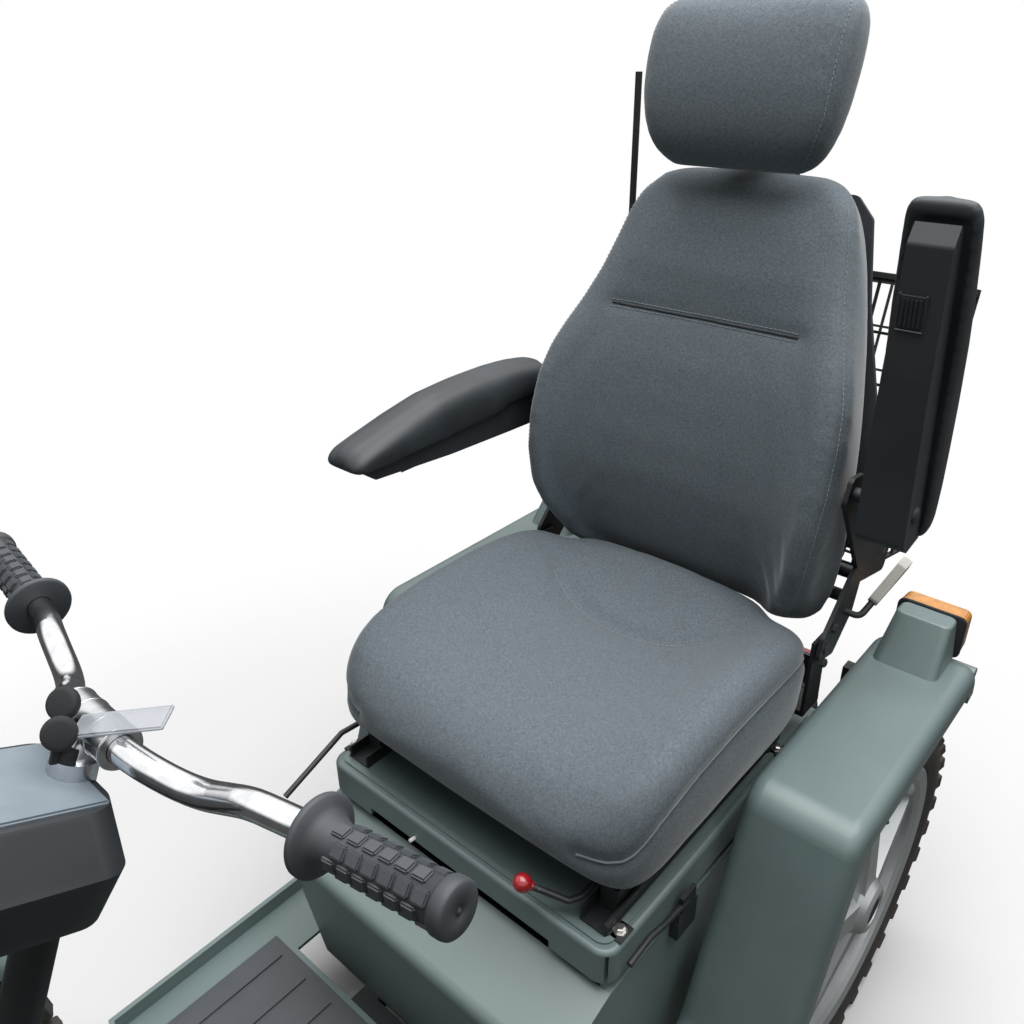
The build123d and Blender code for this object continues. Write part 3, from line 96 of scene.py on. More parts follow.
# %% Socket arithmetic
class Value:
    """One output socket, ready to be used in sums."""

    def __init__(self, nodes, socket):
        self.nodes = nodes
        self.socket = socket

    def math(self, operation, first, second):
        return self.nodes.node("ShaderNodeMath", {"operation": operation}, {0: first, 1: second})

    def __add__(self, other):
        return self.math("ADD", self, other)

    def __radd__(self, other):
        return self.math("ADD", other, self)

    def __sub__(self, other):
        return self.math("SUBTRACT", self, other)

    def __rsub__(self, other):
        return self.math("SUBTRACT", other, self)

    def __mul__(self, other):
        return self.math("MULTIPLY", self, other)

    def __rmul__(self, other):
        return self.math("MULTIPLY", other, self)

    def __truediv__(self, other):
        return self.math("DIVIDE", self, other)

    def floor(self):
        return self.math("FLOOR", self, 0.0)

    def cos(self):
        return self.math("COSINE", self, 0.0)

    def sin(self):
        return self.math("SINE", self, 0.0)

    def between(self, low, high):
        """0 below low, 1 above high, smooth in between."""
        settings = {"interpolation_type": "SMOOTHSTEP"}
        sockets = {"Value": self, "From Min": low, "From Max": high, "To Min": 0.0, "To Max": 1.0}
        return self.nodes.node("ShaderNodeMapRange", settings, sockets)


class Nodes:
    """A node tree in the making, with one method that adds any node."""

    def feed(self, socket, value):
        if isinstance(value, Value):
            self.tree.links.new(value.socket, socket)
        else:
            socket.default_value = value

    def node(self, kind, settings=None, sockets=None, output=0):
        made = self.tree.nodes.new(kind)
        for key, value in (settings or {}).items():
            setattr(made, key, value)
        for key, value in (sockets or {}).items():
            self.feed(made.inputs[key], value)
        return made if output is None else Value(self, made.outputs[output])


class Finish(Nodes):
    """A material in the making."""

    def __init__(self, name, colour=(0.5, 0.5, 0.5), **sockets):
        self.material = bpy.data.materials.new(name)
        self.material.use_nodes = True
        self.tree = self.material.node_tree
        self.shader = self.tree.nodes["Principled BSDF"]
        self.shader.inputs["Base Color"].default_value = (*colour, 1.0)
        self.material.diffuse_color = (*colour, 1.0)
        self.set(**sockets)
        self.place = self.node("ShaderNodeTexCoord", {}, {}, "Object")

    def set(self, **sockets):
        """Set the shader's own sockets; an underscore stands for a space."""
        for key, value in sockets.items():
            self.feed(self.shader.inputs[key.replace("_", " ")], value)

    def noise(self, scale, detail=3.0, rough=0.55, stretch=None):
        place = self.place
        if stretch:
            place = self.node("ShaderNodeMapping", {}, {"Vector": place, "Scale": stretch})
        sockets = {"Vector": place, "Scale": scale, "Detail": detail, "Roughness": rough}
        return self.node("ShaderNodeTexNoise", {}, sockets)

    def mix(self, factor, first, second):
        """Blend two colours."""
        settings = {"data_type": "RGBA"}
        sockets = {0: factor, 6: self.colour(first), 7: self.colour(second)}
        return self.node("ShaderNodeMix", settings, sockets, 2)

    def colour(self, value):
        return value if isinstance(value, Value) else (*value, 1.0)

    def bump(self, height, strength, distance):
        sockets = {"Strength": strength, "Distance": distance, "Height": height}
        self.set(Normal=self.node("ShaderNodeBump", {}, sockets))

    def edges(self, softness):
        """Brighter along convex edges, for worn or dusty corners."""
        pointy = self.node("ShaderNodeNewGeometry", {}, {}, "Pointiness")
        return pointy.between(0.5, 0.5 + softness)


# %% [markdown]
# The finishes come next. The moulded bodywork is a dark green-grey plastic with a satin skin, a faint
# orange peel and a film of dust in patches. The frame is black powder coat, the bar is chrome, the
# wheels are silver paint over a casting, and the seat is a heathered weave. Each pattern is laid in
# object space, so its scale is in metres and it needs no unwrapping.


# %% Finishes for the bodywork and the frame
def moulded_green():
    f = Finish("moulded_green", (0.155, 0.212, 0.213), Coat_Weight=0.4, Coat_Roughness=0.3)
    cloud = f.noise(7.0, 4.0)
    speck = f.noise(520.0, 2.0)
    dust = f.noise(34.0, 6.0, 0.7).between(0.52, 0.8)
    scuff = f.noise(160.0, 3.0, 0.6, (0.08, 1.0, 1.0)).between(0.66, 0.74)
    base = f.mix(cloud.between(0.3, 0.75), (0.145, 0.199, 0.2), (0.168, 0.228, 0.229))
    dusty = f.mix(dust * 0.14, base, (0.26, 0.26, 0.23))
    f.set(Base_Color=f.mix(scuff * 0.1 + f.edges(0.05) * 0.2, dusty, (0.28, 0.34, 0.33)))
    f.set(Roughness=0.4 + cloud * 0.14 + dust * 0.14)
    f.bump(speck * 0.35 + cloud * 0.5, 0.1, 0.001)
    return f.material


def black_powder():
    f = Finish("black_powder", (0.02, 0.022, 0.024))
    fine = f.noise(900.0, 2.0)
    cloud = f.noise(14.0, 4.0)
    worn = f.noise(46.0, 5.0, 0.7).between(0.6, 0.72) * f.edges(0.06)
    base = f.mix(cloud.between(0.5, 0.8), (0.016, 0.018, 0.02), (0.034, 0.036, 0.038))
    f.set(Base_Color=f.mix(worn * 0.6, base, (0.22, 0.21, 0.2)))
    f.set(Roughness=0.38 + cloud * 0.2)
    f.bump(fine, 0.12, 0.0004)
    return f.material


def moulding(name, colour, grain, gloss, depth=0.0005):
    """A moulded skin: fine grain, cloudy tone and paler edges."""
    f = Finish(name, colour)
    fine = f.noise(grain, 3.0, 0.6)
    cloud = f.noise(11.0, 4.0)
    dark = tuple(0.82 * c for c in colour)
    pale = tuple(1.4 * c + 0.004 for c in colour)
    base = f.mix(cloud.between(0.35, 0.8), dark, pale)
    f.set(Base_Color=f.mix(f.edges(0.06) * 0.3, base, tuple(2.2 * c + 0.01 for c in colour)))
    f.set(Roughness=gloss + cloud * 0.18)
    f.bump(fine, 0.22, depth)
    return f.material


def bright_metal(name, colour, rough, brushed):
    f = Finish(name, colour, Metallic=1.0)
    streak = f.noise(90.0, 4.0, 0.6, brushed)
    cloud = f.noise(20.0, 3.0)
    dark = tuple(0.8 * c for c in colour)
    f.set(Base_Color=f.mix(streak.between(0.35, 0.75), dark, colour))
    f.set(Roughness=rough + streak * 0.1 + cloud * 0.06)
    return f.material


def cast_silver():
    f = Finish("cast_silver", (0.5, 0.52, 0.53), Metallic=0.35, Coat_Weight=0.3, Coat_Roughness=0.22)
    flake = f.noise(700.0, 2.0)
    dirt = f.noise(13.0, 6.0, 0.7).between(0.55, 0.85)
    silver = f.mix(flake, (0.46, 0.485, 0.495), (0.58, 0.6, 0.61))
    f.set(Base_Color=f.mix(dirt * 0.4, silver, (0.24, 0.21, 0.18)))
    f.set(Roughness=0.34 + dirt * 0.3)
    f.bump(flake, 0.05, 0.0006)
    return f.material


# %% Finishes for rubber, cloth and lenses
def knob_rubber():
    f = Finish("knob_rubber", (0.03, 0.029, 0.028))
    dust = f.noise(24.0, 6.0, 0.72).between(0.42, 0.76)
    fine = f.noise(480.0, 3.0)
    base = f.mix(fine, (0.02, 0.02, 0.021), (0.038, 0.036, 0.034))
    dusty = f.mix(dust * 0.45, base, (0.13, 0.108, 0.086))
    f.set(Base_Color=f.mix(f.edges(0.08) * 0.35, dusty, (0.12, 0.11, 0.1)))
    f.set(Roughness=0.72 + dust * 0.2)
    f.bump(fine, 0.25, 0.0008)
    return f.material


def seat_cloth():
    """Two sets of crossed threads, each with light and dark yarns, under a soft sheen."""
    f = Finish("seat_cloth", (0.115, 0.135, 0.152), Sheen_Weight=0.5, Sheen_Roughness=0.35)
    warp = f.noise(1500.0, 2.0, 0.6, (1.0, 0.16, 1.0))
    weft = f.noise(1500.0, 2.0, 0.6, (0.16, 1.0, 0.22))
    yarn = f.noise(420.0, 3.0, 0.65, (1.0, 0.5, 0.7))
    cloud = f.noise(16.0, 3.0)
    thread = warp * 0.4 + weft * 0.4 + yarn * 0.2
    shade = f.mix(thread.between(0.38, 0.62), (0.088, 0.107, 0.121), (0.176, 0.213, 0.24))
    f.set(Base_Color=f.mix(cloud.between(0.35, 0.8) * 0.2, shade, (0.15, 0.17, 0.18)))
    f.set(Roughness=0.84 + thread * 0.1)
    f.bump(thread, 0.3, 0.0007)
    return f.material


def clear_colour(name, colour, rough):
    f = Finish(name, colour, Coat_Weight=0.6, Coat_Roughness=0.06)
    cloud = f.noise(60.0, 3.0)
    deep = tuple(0.6 * c for c in colour)
    f.set(Base_Color=f.mix(cloud.between(0.3, 0.8), deep, colour))
    f.set(Roughness=rough + cloud * 0.08)
    return f.material


def clear_sheet():
    f = Finish("clear_sheet", (0.5, 0.53, 0.58), Coat_Weight=0.8, Coat_Roughness=0.04)
    f.set(Roughness=0.12 + f.noise(40.0) * 0.08, Alpha=0.5 + f.noise(25.0) * 0.1)
    return f.material


# %% Make the finishes and give each CAD node its own
BLACK = (0.02, 0.023, 0.026)
GREEN = moulded_green()
POWDER = black_powder()
PLASTIC = moulding("black_plastic", BLACK, 700.0, 0.46)
PAD_SKIN = moulding("pad_skin", (0.028, 0.034, 0.039), 330.0, 0.42, 0.0006)
GRIP_SKIN = moulding("grip_skin", (0.045, 0.05, 0.056), 500.0, 0.5)
WIRE_SKIN = moulding("wire_skin", (0.018, 0.019, 0.02), 200.0, 0.34)
# A near-black skin: the real black of the key heads, lock barrel and lamp gaskets, and painted shade in the
# armrest window and in the fold of the chest seam.
BLACK_AND_SHADE = moulding("recess_black", (0.008, 0.009, 0.01), 300.0, 0.7)
# A grey-blue skin that paints the sky's reflection on the console's black plastic.
CONSOLE_REFLECTION = moulding("panel_grey", (0.17, 0.205, 0.235), 600.0, 0.44)
BEIGE = moulding("beige_grip", (0.5, 0.48, 0.44), 420.0, 0.46)
WHITE_PEG = moulding("white_peg", (0.7, 0.7, 0.68), 500.0, 0.5)
# The piping cord is the cloth made paler: a painted highlight along the ridge of the cord.
PIPING_HIGHLIGHT = moulding("piping_cord", (0.15, 0.175, 0.19), 900.0, 0.7)
THREAD = moulding("sewing_thread", (0.2, 0.225, 0.245), 1500.0, 0.7)
CHROME = bright_metal("bar_chrome", (0.8, 0.81, 0.83), 0.05, (1.0, 1.0, 1.0))
ZINC = bright_metal("zinc_plate", (0.66, 0.65, 0.62), 0.26, (1.0, 1.0, 0.2))
ALLOY = bright_metal("polished_alloy", (0.68, 0.69, 0.71), 0.16, (0.2, 1.0, 1.0))
DULL_ALLOY = bright_metal("dull_alloy", (0.36, 0.36, 0.37), 0.42, (1.0, 1.0, 1.0))
SILVER = cast_silver()
TYRE_SKIN = knob_rubber()
CLOTH = seat_cloth()
AMBER = clear_colour("amber_lens", (0.9, 0.36, 0.03), 0.16)
RED_LENS = clear_colour("red_lens", (0.5, 0.012, 0.012), 0.16)
CLEAR_LENS = clear_colour("clear_lens", (0.75, 0.78, 0.8), 0.1)
RED_KNOB = clear_colour("red_knob", (0.62, 0.02, 0.03), 0.2)
CLEAR_SHEET = clear_sheet()

SLOT_FINISH = {
    "body_green": GREEN,
    "black_steel": POWDER,
    "bright_steel": ZINC,
    "drive_alloy": DULL_ALLOY,
    "spring_steel": POWDER,
    "black_wire": WIRE_SKIN,
    "wheel_alloy": SILVER,
    "tyre_rubber": TYRE_SKIN,
    "seat_fabric": CLOTH,
    "black_plastic": PLASTIC,
    "pad_black": PAD_SKIN,
    "grip_rubber": GRIP_SKIN,
    "bar_chrome": CHROME,
    "clamp_alloy": ALLOY,
    "amber_lens": AMBER,
    "red_lens": RED_LENS,
    "clear_lens": CLEAR_LENS,
    "red_plastic": RED_KNOB,
    "grey_plastic": BEIGE,
}
for row in frame["record"]["subparts"]:
    node = frame["nodes"][row["node"]]
    node.data.materials.clear()
    node.data.materials.append(SLOT_FINISH[row["material_slot"]])

# %% [markdown]
# The seat, the backrest and the headrest are foam under stretched cloth. Each one starts as a loft of
# rings, which fixes the dish, the side wings and the rounded ends. A loft has stretched faces at its
# ends, so a voxel remesh turns it into even small squares, and only then does a cloth simulation blow
# the skin out a little against its pinned seams, as the foam does. That gives tension between seams
# that no fillet gives.


# %% Helpers for padded shapes
def new_piece(name, mesh, *finishes):
    piece = bpy.data.objects.new(name, mesh)
    bpy.context.scene.collection.objects.link(piece)
    for finish in finishes:
        mesh.materials.append(finish)
    return piece


def smooth_mesh(name, verts, faces):
    mesh = bpy.data.meshes.new(name)
    mesh.from_pydata([tuple(v) for v in verts], [], faces)
    shell = bmesh.new()
    shell.from_mesh(mesh)
    bmesh.ops.remove_doubles(shell, verts=shell.verts, dist=1e-6)
    bmesh.ops.recalc_face_normals(shell, faces=shell.faces)
    shell.to_mesh(mesh)
    shell.free()
    mesh.shade_smooth()
    return mesh


def ring_loft(name, rings):
    """Skin a list of closed rings with equal counts, and close both ends."""
    count = len(rings[0])
    verts = [point for ring in rings for point in ring]
    faces = []
    for row in range(len(rings) - 1):
        for k in range(count):
            a, b = row * count + k, row * count + (k + 1) % count
            faces.append((a, b, b + count, a + count))
    faces.append(tuple(range(count)))
    faces.append(tuple(range((len(rings) - 1) * count, len(rings) * count)))
    return smooth_mesh(name, verts, faces)


def freeze(piece):
    """Replace a piece's mesh by what its modifiers make of it."""
    graph = bpy.context.evaluated_depsgraph_get()
    mesh = bpy.data.meshes.new_from_object(piece.evaluated_get(graph))
    piece.modifiers.clear()
    old = piece.data
    piece.data = mesh
    bpy.data.meshes.remove(old)
    mesh.shade_smooth()
    return mesh


def blend_table(table, column, at):
    """Read a column of a table at a place between its rows."""
    if at <= table[0][0]:
        return table[0][column]
    for low, high in zip(table, table[1:]):
        if at <= high[0]:
            t = (at - low[0]) / (high[0] - low[0])
            return low[column] + (high[column] - low[column]) * t
    return table[-1][column]


# %% [markdown]
# The seams are lines on the skin. Before the simulation each one is pressed in as a groove and its
# points are pinned, so that the cloth swells on both sides of it. The reach of every point is capped,
# because a pressure that gives soft corners would otherwise balloon the flat panels.

# %% Pressing seams and blowing up the skin
SWELL_FRAMES = 10
GRID_ROUNDS = 6
SKIN_ROUNDS = 9


def seam_press(mesh, lines, depth, width):
    """Push the skin in along lines of points, and return how strongly each point is held."""
    points = np.array([v.co for v in mesh.vertices])
    normals = np.array([v.normal for v in mesh.vertices])
    nearest = np.full(len(points), 9.0)
    for line in lines:
        for start, end in zip(line, line[1:]):
            a = np.array(start)
            ab = np.array(end) - a
            t = np.clip(((points - a) @ ab) / (ab @ ab), 0.0, 1.0)
            gap = np.linalg.norm(points - a - t[:, None] * ab, axis=1)
            nearest = np.minimum(nearest, gap)
    dip = depth * np.exp(-((nearest / width) ** 2))
    points -= normals * dip[:, None]
    mesh.vertices.foreach_set("co", points.ravel())
    mesh.update()
    return np.exp(-((nearest / (0.7 * width)) ** 2))


def blow_up(piece, held, pressure, reach):
    """Swell the skin with a cloth simulation, holding the seams."""
    mesh = piece.data
    before = np.array([v.co for v in mesh.vertices])
    group = piece.vertex_groups.new(name="held")
    for index, weight in enumerate(held):
        group.add([index], float(min(weight, 1.0)), "REPLACE")
    cloth = piece.modifiers.new("skin", "CLOTH")
    cloth.settings.quality = 4
    cloth.settings.mass = 0.3
    cloth.settings.tension_stiffness = 18.0
    cloth.settings.compression_stiffness = 18.0
    cloth.settings.bending_stiffness = 1.2
    cloth.settings.effector_weights.gravity = 0.0
    cloth.settings.use_pressure = True
    cloth.settings.uniform_pressure_force = pressure
    cloth.settings.vertex_group_mass = "held"
    cloth.collision_settings.use_collision = False
    cloth.point_cache.frame_end = SWELL_FRAMES
    for frame_number in range(1, SWELL_FRAMES + 1):
        bpy.context.scene.frame_set(frame_number)
    swollen = freeze(piece)
    after = np.array([v.co for v in swollen.vertices])
    step = after - before
    length = np.linalg.norm(step, axis=1)
    scale = np.where(length > reach, reach / np.maximum(length, 1e-9), 1.0)
    swollen.vertices.foreach_set("co", (before + step * scale[:, None]).ravel())
    swollen.update()
    bpy.context.scene.frame_set(1)
    print(piece.name, "swelled by", round(float(length.mean()) / MM, 1), "mm on average")


def smoothing(piece, rounds):
    ease = piece.modifiers.new("ease", "SMOOTH")
    ease.factor = 0.5
    ease.iterations = rounds


def padded_piece(name, rings, voxel, seams, press, width, pressure, reach, flat=None, finish=CLOTH):
    """Loft, remesh, press the seams, swell and refine one padded piece; flat tells which points stay."""
    piece = new_piece(name, ring_loft(name, rings))
    grid = piece.modifiers.new("grid", "REMESH")
    grid.mode = "VOXEL"
    grid.voxel_size = voxel
    smoothing(piece, GRID_ROUNDS)
    mesh = freeze(piece)
    held = seam_press(mesh, seams, press, width)
    if flat:
        held = np.maximum(held, [1.0 if flat(v.co) else 0.0 for v in mesh.vertices])
    blow_up(piece, held, pressure, reach)
    smoothing(piece, SKIN_ROUNDS)
    fine = piece.modifiers.new("fine", "SUBSURF")
    fine.levels = 1
    fine.render_levels = 1
    mesh = freeze(piece)
    piece.vertex_groups.clear()
    mesh.materials.clear()
    mesh.materials.append(finish)
    print(name, "has", len(mesh.polygons), "faces")
    return piece


# %% [markdown]
# The seat cushion is dished for the thighs, with a bolster along each side, a rolled front and a rear
# edge that climbs towards the backrest. Its rings stand across the seat, from front to rear. A curved
# seam near the rear holds the cover down, and piping runs along each side where the top panel meets the
# boxing.

# %% Seat cushion
SEAT_ORIGIN = 0.042
BOLSTER_ROUND = 0.036
SEAT_RINGS = (
    # back from the lid's front edge, half width, bottom, piping height, middle, bolster
    (0.004, 0.120, 0.597, 0.606, 0.617, 0.615),
    (0.010, 0.172, 0.586, 0.606, 0.628, 0.625),
    (0.018, 0.203, 0.576, 0.607, 0.638, 0.637),
    (0.026, 0.220, 0.568, 0.609, 0.646, 0.648),
    (0.037, 0.233, 0.560, 0.614, 0.652, 0.661),
    (0.052, 0.241, 0.554, 0.625, 0.657, 0.677),
    (0.072, 0.246, 0.551, 0.640, 0.661, 0.690),
    (0.100, 0.249, 0.550, 0.653, 0.663, 0.700),
    (0.150, 0.250, 0.550, 0.664, 0.662, 0.708),
    (0.200, 0.251, 0.550, 0.669, 0.659, 0.711),
    (0.250, 0.251, 0.550, 0.671, 0.655, 0.712),
    (0.300, 0.251, 0.550, 0.671, 0.652, 0.711),
    (0.340, 0.251, 0.550, 0.670, 0.650, 0.708),
    (0.375, 0.250, 0.550, 0.668, 0.655, 0.704),
    (0.400, 0.249, 0.550, 0.666, 0.664, 0.700),
    (0.425, 0.245, 0.550, 0.662, 0.675, 0.694),
    (0.441, 0.236, 0.551, 0.658, 0.685, 0.689),
    (0.451, 0.214, 0.553, 0.654, 0.690, 0.686),
    (0.458, 0.188, 0.557, 0.654, 0.694, 0.687),
    (0.466, 0.174, 0.563, 0.654, 0.697, 0.689),
    (0.475, 0.164, 0.571, 0.653, 0.697, 0.688),
    (0.482, 0.154, 0.582, 0.648, 0.689, 0.682),
    (0.487, 0.138, 0.598, 0.638, 0.672, 0.667),
)


def mirrored_ring(right, half, base):
    """Close a section: its right half, the mirrored left half and a flat base."""
    left = [(-y, z) for y, z in reversed(right[:-1])]
    return right + left + [(-0.5 * half + k * 0.25 * half, base) for k in range(5)]


def seat_section(back):
    """One ring of the seat: flat below, boxing at the sides, dished above."""
    half, low, seam, middle, side = [blend_table(SEAT_RINGS, c, back) for c in range(1, 6)]
    right = [(half - 0.014, low), (half - 0.004, low + 0.25 * (seam - low)), (half, seam - 0.012)]
    rim = half - 0.001
    right.append((rim, seam))
    top = half - BOLSTER_ROUND
    for k in range(1, 9):
        turn = math.radians(k * 90 / 8)
        across = rim - (rim - top) * (1 - math.cos(turn))
        right.append((across, seam + (side - seam) * math.sin(turn)))
    for k in range(1, 13):
        share = 1 - k / 12
        right.append((top * share, middle + (side - middle) * share ** 2.6))
    return [(SEAT_ORIGIN - back, y, z) for y, z in mirrored_ring(right, half, low)]


def seat_side(back):
    """A point where the top panel meets the boxing."""
    return (SEAT_ORIGIN - back, blend_table(SEAT_RINGS, 1, back), blend_table(SEAT_RINGS, 3, back))


def mirror_line(line):
    return [(x, -y, z) for x, y, z in line]


smile_seam = []
for k in range(-12, 13):
    across = 0.139 * k / 12
    back = 0.334 + 0.040 * (k / 12) ** 2
    height = blend_table(SEAT_RINGS, 4, back) + 0.006 * (k / 12) ** 2
    smile_seam.append((SEAT_ORIGIN - back, across, height))
PIPING_FRONT, PIPING_REAR = 0.012, 0.446
seat_piping = [seat_side(PIPING_FRONT + (PIPING_REAR - PIPING_FRONT) * k / 40) for k in range(41)]
seat_backs = [0.004 + 0.483 * (k / 80) ** 1.2 for k in range(81)]
seat_cushion = padded_piece(
    "seat_cushion_cover",
    [seat_section(back) for back in seat_backs],
    voxel=0.006,
    seams=[smile_seam, seat_piping, mirror_line(seat_piping)],
    press=0.007,
    width=0.009,
    pressure=2.4,
    reach=0.005,
    flat=lambda place: place.z < 0.5545,
)

# %% [markdown]
# The backrest leans back, so its rings are written in its own directions: across, up along the back and
# forward. The wings stand about 50 mm in front of the middle at rib height, and fade out towards the
# shoulders. A straight double seam crosses the chest.

# %% Backrest cushion
PIVOT = Vector((-0.436, 0.0, 0.650))
LEAN = math.radians(14.0)
BACK_UP = Vector((-math.sin(LEAN), 0.0, math.cos(LEAN)))
BACK_FORWARD = Vector((math.cos(LEAN), 0.0, math.sin(LEAN)))
BACK_RINGS = (
    # up, half width at the front seam, half width at the rear, wing, middle, flatness of the dish
    (0.016, 0.178, 0.196, 0.006, -0.022, 7.0),
    (0.022, 0.190, 0.207, 0.016, -0.019, 7.0),
    (0.028, 0.197, 0.214, 0.023, -0.016, 7.0),
    (0.036, 0.203, 0.221, 0.031, -0.011, 7.0),
    (0.050, 0.210, 0.227, 0.047, 0.000, 6.0),
    (0.075, 0.220, 0.232, 0.073, 0.018, 5.0),
    (0.110, 0.230, 0.232, 0.097, 0.038, 4.0),
    (0.165, 0.237, 0.228, 0.112, 0.057, 3.2),
    (0.222, 0.240, 0.221, 0.117, 0.065, 2.8),
    (0.280, 0.237, 0.213, 0.115, 0.068, 2.6),
    (0.325, 0.229, 0.205, 0.106, 0.068, 2.6),
    (0.360, 0.217, 0.198, 0.096, 0.068, 2.6),
    (0.395, 0.203, 0.191, 0.084, 0.067, 2.6),
    (0.440, 0.187, 0.180, 0.073, 0.066, 2.6),
    (0.490, 0.174, 0.166, 0.064, 0.062, 2.6),
    (0.530, 0.164, 0.152, 0.058, 0.057, 2.6),
    (0.556, 0.154, 0.138, 0.050, 0.050, 2.6),
    (0.574, 0.139, 0.122, 0.040, 0.041, 2.6),
    (0.586, 0.120, 0.104, 0.026, 0.028, 2.6),
    (0.592, 0.098, 0.084, 0.006, 0.010, 2.6),
)
BACK_REAR = -0.034
REAR_CORNER = 0.012
WING_ROUND, WING_EDGE = 0.030, 0.016


def on_back(across, up, forward):
    return PIVOT + Vector((0.0, across, 0.0)) + BACK_UP * up + BACK_FORWARD * forward


def back_section(up):
    """One ring of the backrest: flat behind, straight sides, wings and a dish in front."""
    front, rear, wing, middle, flatness = [blend_table(BACK_RINGS, c, up) for c in range(1, 6)]
    foot = BACK_REAR + REAR_CORNER
    right = [(rear - REAR_CORNER, BACK_REAR), (rear, foot)]
    reach = wing - WING_EDGE - foot
    for k in range(1, 5):
        right.append((rear + (front - rear) * k / 4, foot + reach * k / 4))
    flat = front - WING_ROUND
    for k in range(1, 7):
        turn = math.radians(k * 15)
        right.append((flat + WING_ROUND * math.cos(turn), wing - WING_EDGE + WING_EDGE * math.sin(turn)))
    for k in range(1, 13):
        share = 1 - k / 12
        right.append((flat * share, middle + (wing - middle) * share ** flatness))
    return [on_back(v, up, w) for v, w in mirrored_ring(right, rear, BACK_REAR)]


CHEST_HALF, CHEST_UP = 0.14, 0.397
chest_seam = []
for k in range(-12, 13):
    chest_seam.append(on_back(CHEST_HALF * k / 12, CHEST_UP, 0.068 + 0.012 * abs(k / 12) ** 2.6))
back_seam = []
for k in range(41):
    up = 0.040 + 0.530 * k / 40
    front = blend_table(BACK_RINGS, 1, up)
    back_seam.append(on_back(front - 0.004, up, blend_table(BACK_RINGS, 3, up) - 0.012))
back_ups = [0.016 + 0.576 * k / 90 for k in range(91)]
backrest_cushion = padded_piece(
    "backrest_cover",
    [back_section(up) for up in back_ups],
    voxel=0.006,
    seams=[chest_seam, back_seam, mirror_line(back_seam)],
    press=0.006,
    width=0.008,
    pressure=2.4,
    reach=0.004,
    flat=lambda place: (Vector(place) - PIVOT).dot(BACK_FORWARD) < BACK_REAR + 0.006,
)

# %% [markdown]
# The headrest is a thick pad that overhangs the backrest. Its lower corners are rounded, and a seam runs
# straight down each side where the front wrap meets the side panel.

# %% Headrest cushion
HEAD_RINGS = (
    # up, half width, front, rear
    (0.584, 0.088, 0.074, 0.060),
    (0.590, 0.101, 0.090, 0.054),
    (0.600, 0.112, 0.103, 0.051),
    (0.616, 0.121, 0.114, 0.050),
    (0.640, 0.129, 0.122, 0.050),
    (0.670, 0.133, 0.127, 0.050),
    (0.705, 0.135, 0.128, 0.050),
    (0.735, 0.134, 0.126, 0.050),
    (0.757, 0.130, 0.120, 0.051),
    (0.771, 0.122, 0.110, 0.053),
    (0.780, 0.108, 0.096, 0.058),
    (0.785, 0.090, 0.080, 0.064),
)
HEAD_REAR = 0.050


def head_section(up):
    half, front, rear = [blend_table(HEAD_RINGS, c, up) for c in range(1, 4)]
    thick = front - rear
    ring = []
    for k in range(64):
        turn = 2 * math.pi * k / 64
        c, s = math.cos(turn), math.sin(turn)
        across = half * math.copysign(abs(c) ** 0.34, c)
        forward = rear + thick / 2 + thick / 2 * math.copysign(abs(s) ** 0.42, s)
        ring.append(on_back(across, up, forward))
    return ring


head_seam = []
for k in range(31):
    up = 0.592 + 0.186 * k / 30
    half = blend_table(HEAD_RINGS, 1, up)
    front = blend_table(HEAD_RINGS, 2, up)
    head_seam.append(on_back(min(half - 0.006, 0.124), up, front - 0.010))
head_ups = [0.584 + 0.201 * k / 60 for k in range(61)]
headrest_cushion = padded_piece(
    "headrest_cover",
    [head_section(up) for up in head_ups],
    voxel=0.005,
    seams=[head_seam, mirror_line(head_seam)],
    press=0.003,
    width=0.008,
    pressure=2.4,
    reach=0.004,
    flat=lambda place: (Vector(place) - PIVOT).dot(BACK_FORWARD) < HEAD_REAR + 0.006,
)

for cover, body, node in (
    (seat_cushion, "seat", "seat_cushion"),
    (backrest_cushion, "backrest", "backrest_cushion"),
    (headrest_cushion, "backrest", "headrest_cushion"),
):
    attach(cover, body)
    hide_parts(node)

# %% [markdown]
# Many small things repeat: stitches along a seam, bolts on a bracket, knobs round a tyre, pads round a
# grip. Copying them by hand would be slow to change later, so three Geometry Nodes trees make them. The
# first turns every edge of a mesh into a round tube. The second puts a copy of a small part on every
# point, turned by two stored directions. The third lays blocks in rows round a drum. Each tree has named
# inputs, and its result is kept as a plain mesh.


# %% Geometry Nodes trees
class Recipe(Nodes):
    """A Geometry Nodes tree in the making, with named inputs."""

    def __init__(self, name, **inputs):
        self.tree = bpy.data.node_groups.new(name, "GeometryNodeTree")
        face = self.tree.interface
        face.new_socket("Geometry", in_out="INPUT", socket_type="NodeSocketGeometry")
        for key, kind in {**inputs, "Finish": "Material"}.items():
            face.new_socket(key, in_out="INPUT", socket_type="NodeSocket" + kind)
        face.new_socket("Geometry", in_out="OUTPUT", socket_type="NodeSocketGeometry")
        self.entry = self.tree.nodes.new("NodeGroupInput")

    def given(self, key):
        return Value(self, self.entry.outputs[key])

    def close(self, geometry):
        plain = self.node("GeometryNodeRealizeInstances", {}, {"Geometry": geometry})
        sockets = {"Geometry": plain, "Material": self.given("Finish")}
        painted = self.node("GeometryNodeSetMaterial", {}, sockets)
        self.node("NodeGroupOutput", {}, {"Geometry": painted}, None)
        return self


def tube_recipe():
    r = Recipe("tube_along_edges", Radius="Float", Sides="Int")
    line = r.node("GeometryNodeMeshToCurve", {}, {"Mesh": r.given("Geometry")})
    sockets = {"Resolution": r.given("Sides"), "Radius": r.given("Radius")}
    ring = r.node("GeometryNodeCurvePrimitiveCircle", {}, sockets)
    sockets = {"Curve": line, "Profile Curve": ring, "Fill Caps": True}
    tube = r.node("GeometryNodeCurveToMesh", {}, sockets)
    return r.close(tube)


